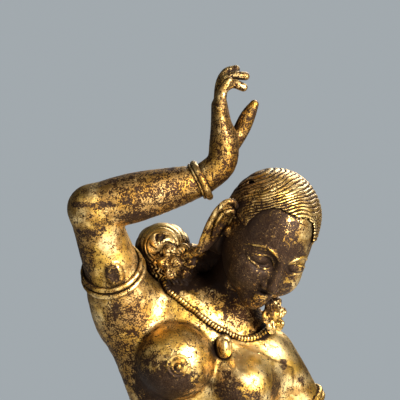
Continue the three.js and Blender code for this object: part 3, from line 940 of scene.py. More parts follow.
def hairWax():
    bun = hairStyle["bun"]
    wax = Wax()
    wax.add(swollen(skullWax(), hairStyle["depth"]))
    wax.add(ball(at(11.9, -6, 168.8), (10, 9.2, 9.8)), 2)
    wax.cut(hairlineForm(), 0.7)
    wax.keep(behind(inHead(0, 0, -9), -headTurn[:, 2]), 1.5)
    wax.add(limb([(inHead(-5, 4, 0), 4), (inHead(-8, 4, -6), 3.4)]), 1.5)
    slit = hairStyle["slit"]
    ends = [(slit + at(-0.8, 0.1, -0.1), 0.22, 1.4), (slit + at(0.8, 0, 0.1), 0.3, 1.4)]
    wax.cut(limb(ends, side=(0, 0, 1)))
    roll = [
        (inHead(0, 5, -9), 4.2, 3.6),
        (bun + at(9.6, -0.4, -2.8), 3.4, 3),
        (bun + at(3.6, -0.4, -2.2), 3.4, 3),
    ]
    wax.add(limb(roll), 1.5)
    wax.add(ball(at(-4.5, 3, 156.4), (3.6, 3, 3)), 1)
    tress = [(bun, 5.4, 5), (bun + at(1.4, -0.6, -4.6), 5.6, 5.2), (bun + at(4, -0.4, -9.9), 4.8, 4.6)]
    wax.add(limb(tress), 1)
    wax.add(ball(bun, hairStyle["bunSize"]), 0.4)
    return wax


# a rosette: curled petals round a domed heart
rosetteShape = {"petals": 6, "reach": 2.9, "petal": 1.5, "heart": 1.35, "disc": (3.3, 3.3, 1.0)}


def frameToward(way):
    out = unit(way)
    side = unit(np.cross(at(0, 0, 1), out))
    return np.stack([side, np.cross(out, side), out], -1)


def rosetteWax(e):
    s, turn, c = rosetteShape, frameToward(e["toward"]), e["centre"]
    out = turn[:, 2]
    wax = Wax().add(ball(c - out * 0.3, s["disc"], turn))
    for i in range(s["petals"]):
        angle = 2 * math.pi * i / s["petals"]
        way = turn @ at(math.cos(angle), math.sin(angle), 0)
        middle = c + way * s["reach"]
        across, leaf = np.cross(out, way), s["petal"] * (1 + 0.16 * math.sin(5.3 * i + c[0]))
        wax.add(ball(middle + across * 0.15, (leaf, leaf, 0.85), turn), 0.15)
        # the leaf curls over a hollow
        curl = [
            (c + way * 1.9 - across * 0.7 + out * 0.6, 0.3),
            (middle + way * 0.4 + out * 0.75, 0.42),
            (middle + across * 0.8 + out * 0.7, 0.4),
            (middle - way * 0.1 + across * 0.1 + out * 0.6, 0.3),
        ]
        wax.cut(ball(middle + out * 0.75, (0.6 * leaf, 0.6 * leaf, 0.45), turn), 0.15)
        wax.add(limb(curl), 0.12)
    wax.cut(ring(c + out * 0.75, out, 1.75, 0.3), 0.1)
    wax.add(ball(c + out * 0.35, (s["heart"], s["heart"], 1.0), turn), 0.1)
    wax.cut(ring(c + out * 1.2, out, 0.6, 0.17), 0.08)
    return wax


necklaceLine = [
    at(-12.4, 4.5, 153.8),
    at(-12.3, -4.1, 152.3),
    at(-9.2, -5.9, 149.8),
    at(-4.8, -6.7, 146.4),
    at(-0.4, -6.6, 143.5),
    at(3.9, -5.2, 141.4),
    at(6.9, -3.4, 141),
    at(9.4, -1.2, 141.9),
    at(11.2, 1.2, 143.6),
    at(9.6, 5.4, 145.8),
]
necklaceShape = {"wire": 0.7, "pitch": 0.76, "waist": 0.4, "sides": 12, "perBead": 6}


# a closed tube through the points, its radius a function of the distance along it
def tube(points, radiusAt, sides=12):
    points = np.asarray(points, float)
    ahead = np.roll(points, -1, 0)
    steps = lengthOf(ahead - points)
    distance = np.concatenate([[0], np.cumsum(steps)[:-1]])
    tangent = unitRows(ahead - np.roll(points, 1, 0))
    out = points - points.mean(0)
    out = unitRows(out - (out * tangent).sum(1)[:, None] * tangent)
    up = np.cross(tangent, out)
    angle = np.arange(sides) * 2 * math.pi / sides
    r = radiusAt(distance, steps.sum())
    around = out[:, None] * np.cos(angle)[:, None] + up[:, None] * np.sin(angle)[:, None]
    p = points[:, None] + r[:, None, None] * around
    n = len(points)
    i, j = np.meshgrid(np.arange(n), np.arange(sides), indexing="ij")
    a, b = i * sides + j, (i + 1) % n * sides + j
    c, d = (i + 1) % n * sides + (j + 1) % sides, i * sides + (j + 1) % sides
    return p.reshape(-1, 3), np.stack([a, d, c, b], -1).reshape(-1, 4)


def evenly(points, spacing):
    steps = lengthOf(np.diff(points, axis=0))
    distance = np.concatenate([[0], np.cumsum(steps)])
    want = np.linspace(0, distance[-1], int(round(distance[-1] / spacing)) + 1)
    return np.stack([np.interp(want, distance, points[:, i]) for i in range(3)], -1)


# the line of a wire that lies round a limb, its middle a little off the surface
def lineRound(form, centre, axis, reach, lift):
    count, tries = 120, 60
    one = unit(np.cross(axis, at(0, 1, 0)))
    two = np.cross(unit(axis), one)
    turn = np.arange(count) * 2 * math.pi / count
    ways = np.outer(np.cos(turn), one) + np.outer(np.sin(turn), two)
    steps = np.linspace(reach * 0.4, reach, tries)
    tried = (centre + ways[:, None] * steps[:, None]).reshape(-1, 3)
    outside = form.measure(tried).reshape(count, tries) > 0
    radius = np.where(outside.any(1), steps[outside.argmax(1)], reach)
    for _ in range(5):
        radius = (np.roll(radius, 1) + 2 * radius + np.roll(radius, -1)) / 4
    return centre + ways * (radius + lift)[:, None]


def lineOnChest(form):
    line = curveThrough(np.array(necklaceLine + [necklaceLine[0]]), np.linspace(0, 1, 200))
    line = settle(form, line, 12)
    line = line + unitRows(probe(form, line)[1]) * necklaceShape["wire"] * 0.75
    for _ in range(6):
        line[1:-1] = (line[:-2] + 2 * line[1:-1] + line[2:]) / 4
    return line[:-1]


# a closed wire that swells into beads
def beadedWire(line, s):
    line = evenly(np.vstack([line, line[:1]]), s["pitch"] / s["perBead"])[:-1]

    def radiusAt(distance, whole):
        beads = round(whole / s["pitch"])
        wave = np.abs(np.sin(math.pi * distance * beads / whole))
        return s["wire"] * (1 - s["waist"] + s["waist"] * wave**0.6)

    p, faces = tube(line, radiusAt, s["sides"])
    return p, faces, lengthOf(p - np.repeat(line, s["sides"], 0)) - 0.85 * s["wire"]


# the lotus base: an oval waisted body between two rows of petals
lotus = {"height": 16, "radius": 34, "squash": 0.8, "petals": 12}


# a body of revolution from a closed (radius, height) outline
def turned(outline):
    a = np.asarray(outline, float)
    b = np.roll(a, -1, 0)

    def measure(p):
        q = np.stack([np.hypot(p[:, 0], p[:, 1]), p[:, 2]], -1)
        nearest = np.full(len(q), 1e6)
        inside = np.zeros(len(q), bool)
        for s, e in zip(a, b):
            way = e - s
            t = np.clip((q - s) @ way / max(way @ way, 1e-9), 0, 1)
            nearest = np.minimum(nearest, ((q - s - t[:, None] * way) ** 2).sum(1))
            if s[1] != e[1]:
                crosses = (s[1] > q[:, 1]) != (e[1] > q[:, 1])
                inside ^= crosses & (q[:, 0] < s[0] + (q[:, 1] - s[1]) / (e[1] - s[1]) * way[0])
        return np.where(inside, -1, 1) * np.sqrt(nearest)

    r, low, high = a[:, 0].max(), a[:, 1].min(), a[:, 1].max()
    return Form(at(-r, -r, low), at(r, r, high), measure)


def squashed(form, share):
    size = at(1, share, 1)
    return Form(form.low * size, form.high * size, lambda p: form.measure(p / size) * share)


def lotusWax():
    radius, height = lotus["radius"], lotus["height"]
    outline = [
        (-5, 0),
        (radius, 0),
        (radius, 2),
        (radius - 3, 3.2),
        (radius - 7.5, height / 2),
        (radius - 5, height - 3),
        (radius - 3.6, height - 1.4),
        (radius - 4.2, height),
        (-5, height),
    ]
    wax = Wax().add(turned(outline))
    rows = ((5, radius - 5.6, -48, 0), (height - 5.2, radius - 6.2, 30, 0.5))
    for level, reach, lean, turn in rows:
        for i in range(lotus["petals"]):
            spin = turnAbout("z", 360 * (i + turn) / lotus["petals"])
            wax.add(ball(spin @ at(reach, 0, level), (2, 6, 4.6), spin @ turnAbout("y", lean)), 0.25)
    wax.keep(behind(at(0, 0, height), at(0, 0, 1))).keep(behind(at(0, 0, 0), at(0, 0, -1)))
    return squashed(wax, lotus["squash"])


# how shut in each point is by the whole work, 0 in the open and 1 deep in a corner; the finish paints this
# ambient occlusion on as shade
def occlusionShade(whole, p, n):
    usual, Wax.margin = Wax.margin, 5.0
    total = np.zeros(len(p))
    for reach, share in ((0.5, 0.3), (1.5, 0.35), (4, 0.35)):
        total += share * np.clip(1 - whole.measure(p + n * reach) / reach, 0, 1.3)
    Wax.margin = usual
    return total


# how sharply the work turns outward at each point, 0 where it is flat
def proud(whole, p, n, depth=0.45):
    return np.clip(1 + whole.measure(p - n * depth) / depth, 0, 1)


# places on the front where the gilding is thicker (+) or worn through to the brown metal (-), and where
# soot has settled; some entries paint light or shade instead, as marked beside them
wearLightAndShade = [
    {"at": (-12.8, 132.6), "size": (6.4, 4.6), "gildAndLight": -1.9},  # under the right breast
    {"at": (-16, 129), "size": (4, 4), "gildAndLight": -1.2},
    {"at": (6.4, 160.5), "size": (11.2, 11), "gildAndLight": -1.5, "sootAndShade": 0.28},  # the face
    {"at": (18.2, 165.8), "size": (1.5, 3.2), "gildAndLight": 1, "dullAndShade": 0.2},
    {"at": (1.5, 129.5), "size": (2.6, 5), "gildAndLight": -1.3},
    {"at": (6, 129), "size": (4, 2), "gildAndLight": -0.8},
    {"at": (-23, 148.3), "size": (1, 1.6), "gildAndLight": -1},
    {"at": (13.7, 135.2), "size": (1, 1.1), "gildAndLight": -1.3},
    {"at": (12, 130.5), "size": (1, 3), "gildAndLight": -1},
    {"at": (18, 131.2), "size": (1.3, 0.8), "gildAndLight": -1.0},
    {"at": (-27, 171.8), "size": (5, 0.8), "gildAndLight": -1.1},
    {"at": (-17, 168.6), "size": (5, 1.4), "gildAndLight": -0.7},
    {"at": (-11, 174.6), "size": (4, 1.2), "gildAndLight": -0.35},
    # painted shade: the upper arm's side away from the light gets less gold and more dullness
    {"at": (-30, 160), "size": (2.5, 8), "gildAndLight": -0.5, "dullAndShade": 0.9},
    {"at": (-15.8, 175), "size": (12, 5.5), "dullAndShade": 1.2},  # the forearm
    {"at": (2, 186), "size": (6, 12), "gildAndLight": -0.15, "dullAndShade": 1.1},  # the raised hand
    # painted shade: the side turned away from the light is dulled darker
    {"at": (-21, 141), "size": (5, 11), "dullAndShade": 1.1},  # the side
    {"at": (-1.6, 167.2), "size": (4.6, 6.2), "gildAndLight": 1.1, "dullAndShade": 1.2, "sootAndShade": -0.4},  # the ear
    {"at": (-13, 165.8), "size": (6.5, 2.2), "gildAndLight": 0.7, "dullAndShade": -0.2},  # the top of the bun
    {"at": (5, 172.6), "size": (4.4, 4.2), "gildAndLight": 0.5, "dullAndShade": 0.8},  # the temple
    {"at": (-20, 152), "size": (3.6, 3), "dullAndShade": -0.3},
    {"at": (14, 137.5), "size": (4, 6), "gildAndLight": 0.3, "dullAndShade": -0.4},
    # painted light: brighter, cleaner gold where the upper chest catches the light
    {"at": (5.4, 137.6), "size": (4, 3.4), "gildAndLight": 0.5, "dullAndShade": -0.5},
    {"at": (-17, 169.4), "size": (9, 1.5), "gildAndLight": -0.4, "dullAndShade": 0.5},
    {"at": (-20.6, 172.8), "size": (1.6, 1.1), "gildAndLight": -1.1},
    {"at": (-18.2, 175), "size": (1.2, 0.6), "gildAndLight": -0.9},
    {"at": (-11.2, 179.4), "size": (0.7, 0.6), "gildAndLight": -1.3},
    {"at": (-25, 176.6), "size": (2.4, 1), "gildAndLight": -0.5},
    {"at": (-27, 166.5), "size": (2, 2), "gildAndLight": -0.8},
    {"at": (-24.6, 141), "size": (2, 10), "gildAndLight": -0.4},
    {"at": (3.2, 201), "size": (2.4, 1.8), "gildAndLight": -0.7},
    {"at": (-1, 197), "size": (1.2, 3), "gildAndLight": -0.4},
    {"at": (6.8, 191.4), "size": (2.2, 2.4), "gildAndLight": -0.5},
    {"at": (-13.6, 163.8), "size": (1.2, 0.7), "gildAndLight": -1.2},  # the heart of the bun
    {"at": (-24, 156.4), "size": (1.6, 2), "gildAndLight": -1.3},  # the plaque
    {"at": (-9.4, 158), "size": (5.4, 4), "gildAndLight": 0.6, "dullAndShade": 1.2},  # the rosette
    # painted shade under the jaw, where the head shades the neck
    {"at": (-3.4, 155), "size": (5.4, 4), "gildAndLight": -0.5, "sootAndShade": 0.5, "dullAndShade": 0.9},  # the neck under the jaw
    {"at": (4.8, 148.4), "size": (6.4, 4.4), "gildAndLight": 0.6, "dullAndShade": 1.9},
    # painted shade below the ear, behind the jaw
    {"at": (-1, 160), "size": (2.6, 6), "gildAndLight": -0.4, "sootAndShade": 0.35, "dullAndShade": 0.8},
    # painted shade under the bun and rosette
    {"at": (-9.5, 153.6), "size": (3, 2.2), "gildAndLight": -0.3, "sootAndShade": 0.5},
]


# returns the gilding, the soot and the dullness at each point; in a few places these paint light or shade
def gildOf(p, n):
    front = ramp(-n[:, 1], -0.3, 0.3)
    total = 0.25 * cloudy(p, 9, 1) + 0.2 * cloudy(p, 3.5, 2)
    sootAndShade, dullAndShade = np.zeros(len(p)), np.zeros(len(p))
    edge = 0.3 * cloudy(p, 2, 3) + 0.25 * cloudy(p, 0.8, 4)
    for w in wearLightAndShade:
        (x, z), (wide, tall) = w["at"], w["size"]
        gap = np.sqrt(((p[:, 0] - x) / wide) ** 2 + ((p[:, 2] - z) / tall) ** 2)
        near = front * ramp(gap + edge, 1.4, 0.6)
        total += w.get("gildAndLight", 0) * near
        dullAndShade += w.get("dullAndShade", 0) * near
        sootAndShade += w.get("sootAndShade", 0) * near
    return total, sootAndShade, dullAndShade


def addSpread(made, name, values):
    layer = made.data.attributes.new(name, "FLOAT", "POINT")
    layer.data.foreach_set("value", np.asarray(values, np.float32))


# puts a finished piece in the scene, with the spreads that its finish reads
def finishPiece(name, p, faces, whole, finish, node, slot, relief):
    made = meshObject(name, p, faces)
    n = normalsOf(p, faces)
    groove, ridge = np.clip(-relief, 0, 0.15) / 0.15, np.clip(relief, 0, 0.15) / 0.15
    gildAndLight, sootAndShade, dullAndShade = gildOf(p, n)
    # painted shade: the ambient occlusion of the whole work, the relief's grooves and the soot patches
    # darken the finish
    addSpread(made, "shadeAndGrime", occlusionShade(whole, p, n) + 0.9 * groove + sootAndShade)
    addSpread(made, "gildAndLight", gildAndLight + (2.3 if name == "head" else 0.9) * proud(whole, p, n) + 0.4 * ridge)
    addSpread(made, "dullAndShade", dullAndShade)
    made.data.materials.append(finish)
    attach(made, "root")
    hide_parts(node)
    report(f"{name}: {len(faces)} faces")


# the reliefs give how far each point stands out, from its place
# strands fan out from the bun over the crown, and turn down on the far side
def combed(p):
    s = hairStyle
    q = (p - head["centre"]) @ headTurn
    q[:, 0] = s["turn"] + s["round"] - np.hypot(q[:, 0] - s["turn"], s["round"])
    w = q @ headTurn.T + head["centre"] - s["bun"]
    angle = np.arctan2(w[:, 2] + s["sag"] * w[:, 0] ** 2, w[:, 0])
    angle += 0.02 * cloudy(q, 5, 5) + 0.006 * cloudy(q, 1.6, 6)
    strand = np.abs(np.cos(s["strands"] * angle / 2)) ** 0.8
    lock = np.abs(np.cos(s["strands"] * angle / 18)) ** 0.5
    full = ramp(0.87 * w[:, 0] + 0.5 * w[:, 2], *s["full"])
    bun = ramp(lengthOf(p - s["bun"]), 8.5, 10)
    ends = 0.95 + 0.35 * cloudy(p, 2.2, 7)
    return s["strand"] * (1.7 * strand + 0.4 * lock - 1.6) * (0.15 + 0.85 * full) * ends * bun


# rings round the bun, a leafy boss in its middle, and curls in the tress below
def coiled(p):
    s = hairStyle
    v = p - s["bun"]
    reach = lengthOf(v / s["bunSize"])
    away = np.hypot(v[:, 0] + 0.2, v[:, 2] - 0.6)
    turn = np.arctan2(v[:, 2] - 0.6, v[:, 0] + 0.2)
    rings = np.abs(np.cos(math.pi * away / s["ring"])) ** 0.7
    leaves = np.abs(np.cos(3.5 * turn + 1.4 * away + 0.8 * cloudy(p, 1.3, 14)))
    inner = ramp(away, *s["boss"])
    relief = 0.2 * (rings - 0.6) * (1 - inner) + 0.22 * (leaves - 0.5) * inner * ramp(away, 0.2, 1.4)
    relief -= 0.15 * ramp(lengthOf(v[:, ::2] - [-0.6, 2.7]), 1.3, 0.7) * (v[:, 1] < 0)
    near = ramp(reach, 1.2, 1.05)
    upper = ramp(v[:, 2], -4.4, -2.6)
    across = v[:, 0] + 0.5 * cloudy(p, 1.1, 8)
    curls = 0.2 * np.sin(6.5 * across + 2.2 * np.sin(3.4 * v[:, 2] + 2.4 * cloudy(p, 1.4, 9)))
    below = ramp(v[:, 2], -2.6, -4.4) * ramp(lengthOf(v), 15, 12)
    return relief * near * upper + curls * below


# the slight unevenness of a chased casting
def castSkin(p):
    return 0.05 * cloudy(p, 2.4, 11) + 0.02 * cloudy(p, 0.9, 12)


# fine folds round the thighs, and the hems
def clothRelief(p):
    total = np.zeros(len(p))
    for j in (right, left):
        down, across, out = thighFrame(j)
        v = p - j["hip"]
        length = np.linalg.norm(j["knee"] - j["hip"])
        s = v @ down
        angle = np.arctan2(v @ across, v @ out)
        reach = s + garment["sag"] * np.cos(angle)
        fine = np.abs(np.cos(math.pi * reach / garment["pitch"])) ** 1.5
        own = ramp(np.hypot(v @ across, v @ out), 14, 11)
        own *= ramp(s, 3, 8) * ramp(s, length + 4, length - 2) * ramp(np.cos(angle), -0.2, 0.5)
        total += garment["fine"] * fine * own
        # two lines along the hem
        v = p - hemOf(j)
        gap = v @ unit(j["ankle"] - j["knee"])
        hem = 0.25 * ramp(np.abs(gap + 1.1), 0.6, 0.3) + 0.2 * ramp(np.abs(gap + 3), 0.5, 0.25)
        total += hem * ramp(lengthOf(v), 11, 9)
    return total


# a raised rib up the middle of each petal, and a groove on either side of it
def petalRelief(p):
    squash = at(1, lotus["squash"], 1)
    q = p / squash
    turn = np.arctan2(q[:, 1], q[:, 0]) * lotus["petals"] / (2 * math.pi)
    total = np.zeros(len(p))
    for shift, low, high in ((0, 1.8, 8), (0.5, 8, 15)):
        across = np.abs((turn - shift + 0.5) % 1 - 0.5)
        level = ramp(q[:, 2], low, low + 1) * ramp(q[:, 2], high, high - 0.6)
        total += level * (0.22 * ramp(across, 0.05, 0.02) - 0.25 * ramp(np.abs(across - 0.33), 0.05, 0.02))
    side = np.hypot(q[:, 0], q[:, 1]) > lotus["radius"] - 9
    return np.where(side, total, 0)


# finishes
def newFinish(name):
    made = bpy.data.materials.new(name)
    made.use_nodes = True
    made.node_tree.nodes.clear()
    return made, made.node_tree


class Graph:
    def __init__(self, tree):
        self.tree = tree

    def add(self, kind, inputs=None, **settings):
        node = self.tree.nodes.new("ShaderNode" + kind)
        for key, value in settings.items():
            setattr(node, key, value)
        for key, value in (inputs or {}).items():
            socket = node.inputs[key]
            if isinstance(value, bpy.types.NodeSocket):
                self.tree.links.new(value, socket)
            else:
                socket.default_value = value
        return node

    def math(self, operation, a, b=0.0, clamp=False):
        return self.add("Math", {0: a, 1: b}, operation=operation, use_clamp=clamp).outputs[0]

    def plus(self, a, b, times=1.0, clamp=False):
        share = b if times == 1 else self.math("MULTIPLY", b, times)
        return self.math("ADD", a, share, clamp)

    def spread(self, name):
        return self.add("Attribute", attribute_name=name).outputs["Fac"]

    def noise(self, place, size, detail=2.0, roughness=0.55):
        # size is that of the grains, in millimetres
        inputs = {"Vector": place, "Scale": 1 / (size * metre), "Detail": detail, "Roughness": roughness}
        return self.add("TexNoise", inputs).outputs["Fac"]

    def between(self, value, low, high, out=(0.0, 1.0)):
        inputs = {"Value": value, "From Min": low, "From Max": high, "To Min": out[0], "To Max": out[1]}
        return self.add("MapRange", inputs, interpolation_type="SMOOTHSTEP").outputs["Result"]

    def blend(self, share, one, two):
        node = self.add("Mix", data_type="RGBA")
        for key, value in ((0, share), (6, one), (7, two)):
            if isinstance(value, bpy.types.NodeSocket):
                self.tree.links.new(value, node.inputs[key])
            else:
                node.inputs[key].default_value = value
        return node.outputs[2]


# the colours of the gold and of the metal under it, and the size of their grain in millimetres; the
# near-black colour serves both dirt in the grain and painted shade
gilding = {
    "pale": (0.92, 0.66, 0.29, 1),
    "deep": (0.70, 0.41, 0.075, 1),
    "film": (0.26, 0.122, 0.020, 1),
    "speck": (0.040, 0.018, 0.008, 1),
    "brown": (0.034, 0.015, 0.005, 1),
    "violet": (0.050, 0.026, 0.012, 1),
    "dirtAndShade": (0.016, 0.007, 0.003, 1),
    "cover": 0.62,
    "grain": 0.34,
    "patch": 1.5,
}


# gold worn through to brown metal, by the spreads of each piece and a fine random grain, darkened by
# painted shade in hollows and grooves
def wornGilding(name, s):
    made, tree = newFinish(name)
    g = Graph(tree)
    place = g.add("TexCoord").outputs["Object"]
    shadeAndGrime, gildAndLight, dullAndShade = g.spread("shadeAndGrime"), g.spread("gildAndLight"), g.spread("dullAndShade")
    grain = g.noise(place, s["grain"], 3, 0.7)
    patch = g.noise(place, s["patch"], 5, 0.65)
    cloud = g.noise(place, 5, 3, 0.5)
    # how much gold is left: more in the open, less under the painted shade of hollows and grooves and under
    # soot
    left = g.plus(gildAndLight, s["cover"])
    left = g.plus(left, g.math("SUBTRACT", grain, 0.5), 1.5)
    left = g.plus(left, g.math("SUBTRACT", patch, 0.5), 2.6)
    left = g.math("SUBTRACT", left, shadeAndGrime)
    crumbs = g.plus(g.noise(place, 0.5, 3, 0.8), left, 0.1)
    gold = g.math("MAXIMUM", g.between(left, -0.12, 0.12), g.between(crumbs, 0.47, 0.55, (0.0, 0.75)))
    # a brown film over the gold, and fine dark specks through it
    stain = g.plus(g.noise(place, 2.4, 4, 0.6), dullAndShade, 0.2)
    film = g.between(g.plus(stain, left, -0.16), 0.28, 0.56, (0.0, 0.8))
    thin = g.plus(grain, g.math("SUBTRACT", g.noise(place, 1.1, 2), 0.5), 0.5)
    thin = g.plus(thin, dullAndShade, -0.09)
    specks = g.between(g.plus(thin, left, 0.05), 0.42, 0.49)
    # painted shade: hollows, grooves and soot patches are darkened toward near-black
    dirtAndShade = g.between(shadeAndGrime, 0.3, 0.85)
    warm = g.blend(g.between(cloud, 0.35, 0.65), s["pale"], s["deep"])
    warm = g.blend(film, warm, s["film"])
    warm = g.blend(specks, s["speck"], warm)
    metal = g.blend(g.between(patch, 0.42, 0.6), s["brown"], s["violet"])
    # dark dirt in the cracks of the grain on the bare metal
    metal = g.blend(g.between(grain, 0.43, 0.56, (0.88, 0.0)), metal, s["dirtAndShade"])
    colour = g.blend(dirtAndShade, g.blend(gold, metal, warm), s["dirtAndShade"])
    rough = g.between(gold, 0, 1, (0.5, 0.39))
    rough = g.plus(rough, g.math("SUBTRACT", 1.0, specks), 0.12)
    rough = g.plus(g.plus(rough, dirtAndShade, 0.2), dullAndShade, 0.07, clamp=True)
    metallic = g.between(gold, 0, 1, (0.6, 1.0))
    lumps = g.plus(g.math("MULTIPLY", grain, 0.3), gold, 0.3)
    lumps = g.plus(g.plus(lumps, specks, 0.35), g.noise(place, 0.9, 2), 0.7)
    bump = g.add("Bump", {"Strength": 0.5, "Distance": 0.14 * metre, "Height": lumps}).outputs["Normal"]
    inputs = {"Base Color": colour, "Metallic": metallic, "Roughness": rough, "Normal": bump}
    inputs.update({"Specular IOR Level": 0.2, "Coat Weight": 0.04, "Coat Roughness": 0.4})
    shader = g.add("BsdfPrincipled", inputs)
    tree.links.new(shader.outputs["BSDF"], g.add("OutputMaterial").inputs["Surface"])
    return made


# the work itself
goldFinish = wornGilding("worn_gilding", gilding)
baseFinish = wornGilding("worn_gilding_of_base", {**gilding, "cover": 0.1, "patch": 2.2})

body, headPart, cloth = bodyWax(), headWax(), clothWax()
hair, lowerFeet, base = hairWax(), feetWax(), lotusWax()
handUp, handDown = Wax(), Wax()
raisedHandInto(handUp, raisedHand)
loweredHandInto(handDown)
rosettes = [rosetteWax(e) for e in earrings]
jewel = {"centre": at(0.5, -8.6, 139.8), "gem": (1.4, 1.9, 2.2), "mount": (1.85, 1.3, 2.75)}
pendant = Wax().add(ball(jewel["centre"], jewel["mount"]))
pendant.cut(ball(jewel["centre"] - at(0, 1, 0), (1.6, 0.4, 2.5)), 0.3)
pendant.add(ball(jewel["centre"], jewel["gem"]), 0.4)
# wires: the necklace, a pair at each armlet and bracelet, and the belt
clothed = Wax().add(body).add(cloth)
rightUpper, rightFore = right["elbow"] - right["shoulder"], at(0.88, 0.06, 0.44)
leftUpper, leftFore = left["elbow"] - left["shoulder"], left["wrist"] - left["elbow"]
smoothWire = {"pitch": 1.8, "waist": 0.08, "sides": 10, "perBead": 6}
beltBeads = {**smoothWire, "waist": 0.35}
wires = [{"name": "necklace", "line": lineOnChest(body), **necklaceShape}]
for name, centre, axis, parts in (
    ("right_armlet", at(-24, -5.8, 157), unit(rightUpper) - at(0, 0.4, 0), ((-0.6, 0.66), (0.6, 0.62))),
    ("left_armlet", mix(left["shoulder"], left["elbow"], 0.52), leftUpper, ((-0.6, 0.66), (0.6, 0.62))),
    ("right_bracelet", right["wrist"], rightFore, ((-0.9, 0.32), (0.1, 0.8))),
    ("left_bracelet", left["wrist"], leftFore, ((-0.95, 0.4), (0.1, 0.8))),
):
    for i, (place, wire) in enumerate(parts):
        line = lineRound(body, centre + unit(axis) * place, axis, 9, wire * 0.5)
        wires.append({"name": f"{name}_{i + 1}", "line": line, "wire": wire, **smoothWire})
for i, (rise, wire) in enumerate(belt["wires"]):
    line = lineRound(clothed, beltCentre + at(0, 0, rise), belt["tilt"], 24, wire * 0.5)
    beads = beltBeads if i else smoothWire
    wires.append({"name": f"belt_{i + 1}", "line": line, "wire": wire, **beads})
claspWax = Wax().add(ball(clasp + at(0, -0.1, 0.3), (2.5, 1.6, 2.5)))
claspWax.cut(ring(clasp + at(0, -1.5, 0.3), at(0, 1, 0), 1.5, 0.3), 0.1)

whole = Wax()
for form in (body, headPart, cloth, hair, lowerFeet, handUp, handDown, *rosettes, pendant, claspWax, base):
    whole.add(form)
for w in wires:
    whole.add(limb([(p, w["wire"]) for p in w["line"]], perSpan=1))
report("wax forms ready")


# the edge lengths wanted: even ones, and finer ones where the relief is
def even(length):
    return lambda p: np.full(len(p), length)


def hairFineness(p):
    depth = skullForm.measure(p)
    domed = (lengthOf(p - hairStyle["bun"]) < 7.5) & (p[:, 1] < 1)
    strands = np.where(p[:, 1] < -3, 0.14, 0.19)
    length = np.where((depth < 1.6) & (p[:, 2] > 160), strands, np.where(domed, 0.18, 0.25))
    return np.where(depth < 0.3, 1.2, length)


def headFineness(p):
    q = (p - head["centre"]) @ headTurn
    face = (q[:, 1] < -4) & (q[:, 2] < 8)
    return np.where(hair.measure(p) < -0.5, 1.2, np.where(face, 0.22, 0.32))


def bodyFineness(p):
    gap = np.minimum(*(lengthOf(p - b["tip"]) for b in breasts))
    return np.where(gap < 3.4, 0.22, 0.5)


skullForm = skullWax()
onFigure = (goldFinish, "figure", "gilt_figure")
onBase = (baseFinish, "lotus_base", "gilt_base")
pieces = [
    # name, form, grid cell, edge length, relief
    ("body", body, 0.8, bodyFineness, castSkin),
    ("head", headPart, 0.42, headFineness, None),
    ("hair", hair, 0.45, hairFineness, lambda p: combed(p) + coiled(p)),
    ("raised_hand", handUp, 0.42, even(0.32), None),
    ("lowered_hand", handDown, 0.5, even(0.4), None),
    ("skirt", cloth, 0.7, even(0.5), clothRelief),
    ("feet", lowerFeet, 0.6, even(0.55), None),
    ("right_rosette", rosettes[0], 0.3, even(0.2), None),
    ("left_rosette", rosettes[1], 0.3, even(0.2), None),
    ("pendant", pendant, 0.3, even(0.2), None),
    ("clasp", claspWax, 0.35, even(0.25), None),
    ("lotus", base, 0.9, even(0.6), petalRelief),
]
for name, form, cell, wanted, relief in pieces:
    p, tris = castMesh(form, cell, wanted)
    rise = relief(p) if relief else np.zeros(len(p))
    p = p + normalsOf(p, tris) * rise[:, None]
    finishPiece(name, p, tris, whole, *(onBase if name == "lotus" else onFigure), rise)

for w in wires:
    p, faces, rise = beadedWire(w["line"], w)
    finishPiece(w["name"], p, faces, whole, *onFigure, rise)


# floor, lights and camera
view = {"target": at(-4.84, -8, 172.2), "distance": 450, "elevation": 4, "width": 88}


def plainFinish(name, colour):
    made, tree = newFinish(name)
    g = Graph(tree)
    place = g.add("TexCoord").outputs["Object"]
    mottle = g.between(g.noise(place, 40, 3), 0.3, 0.7, (0.94, 1.0))
    tint = g.blend(mottle, (0, 0, 0, 1), colour)
    shader = g.add("BsdfPrincipled", {"Base Color": tint, "Roughness": 0.7})
    tree.links.new(shader.outputs["BSDF"], g.add("OutputMaterial").inputs["Surface"])
    return made


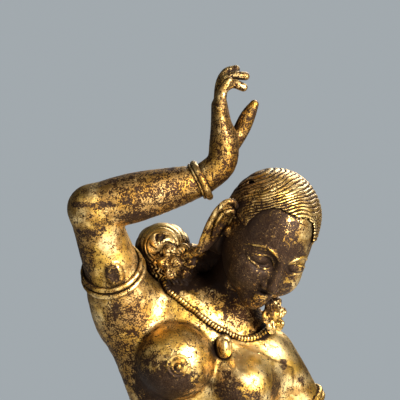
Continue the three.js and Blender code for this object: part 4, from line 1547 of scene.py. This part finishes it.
floorRadius, floorSides = 500, 96
angles = np.arange(floorSides) * 2 * math.pi / floorSides
rim = np.stack([np.cos(angles), np.sin(angles), 0 * angles], -1) * floorRadius
floor = meshObject("floor", rim, [list(range(floorSides))])
floor.data.materials.append(plainFinish("pale_floor", (0.62, 0.64, 0.65, 1)))


def aimed(made, place, target):
    made.location = (place * metre).tolist()
    made.rotation_euler = Vector((target - place).tolist()).to_track_quat("-Z", "Y").to_euler()
    bpy.context.scene.collection.objects.link(made)
    return made


lights = [
    {"name": "key", "place": at(250, -300, 280), "size": 220, "watts": 6.4, "colour": (1, 0.985, 0.96)},
    {"name": "fill", "place": at(-330, -260, 300), "size": 240, "watts": 0.4, "colour": (0.92, 0.96, 1)},
    {"name": "rim", "place": at(120, 300, 380), "size": 200, "watts": 1.0, "colour": (1, 1, 1)},
]
for l in lights:
    lamp = bpy.data.lights.new(l["name"], "AREA")
    lamp.size, lamp.energy, lamp.color = l["size"] * metre, l["watts"], l["colour"]
    aimed(bpy.data.objects.new(l["name"], lamp), l["place"], at(0, -4, 158))

camera = bpy.data.cameras.new("camera")
camera.lens = camera.sensor_width * view["distance"] / view["width"]
lift = math.radians(view["elevation"])
eye = view["target"] + view["distance"] * at(0, -math.cos(lift), math.sin(lift))
bpy.context.scene.camera = aimed(bpy.data.objects.new("camera", camera), eye, view["target"])

world = bpy.data.worlds.new("studio")
world.use_nodes = True
bpy.context.scene.world = world
studio = Graph(world.node_tree)
backdrop = world.node_tree.nodes["Background"]
backdrop.inputs["Color"].default_value = (0.362, 0.400, 0.425, 1)
room = studio.add("Background", {"Color": (0.9, 0.95, 1.0, 1), "Strength": 0.07})
seen = studio.add("LightPath").outputs["Is Camera Ray"]
both = studio.add("MixShader", {0: seen, 1: room.outputs[0], 2: backdrop.outputs[0]})
world.node_tree.links.new(both.outputs[0], world.node_tree.nodes["World Output"].inputs["Surface"])
bpy.context.scene.view_settings.view_transform = "Standard"

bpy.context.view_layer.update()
report("done")
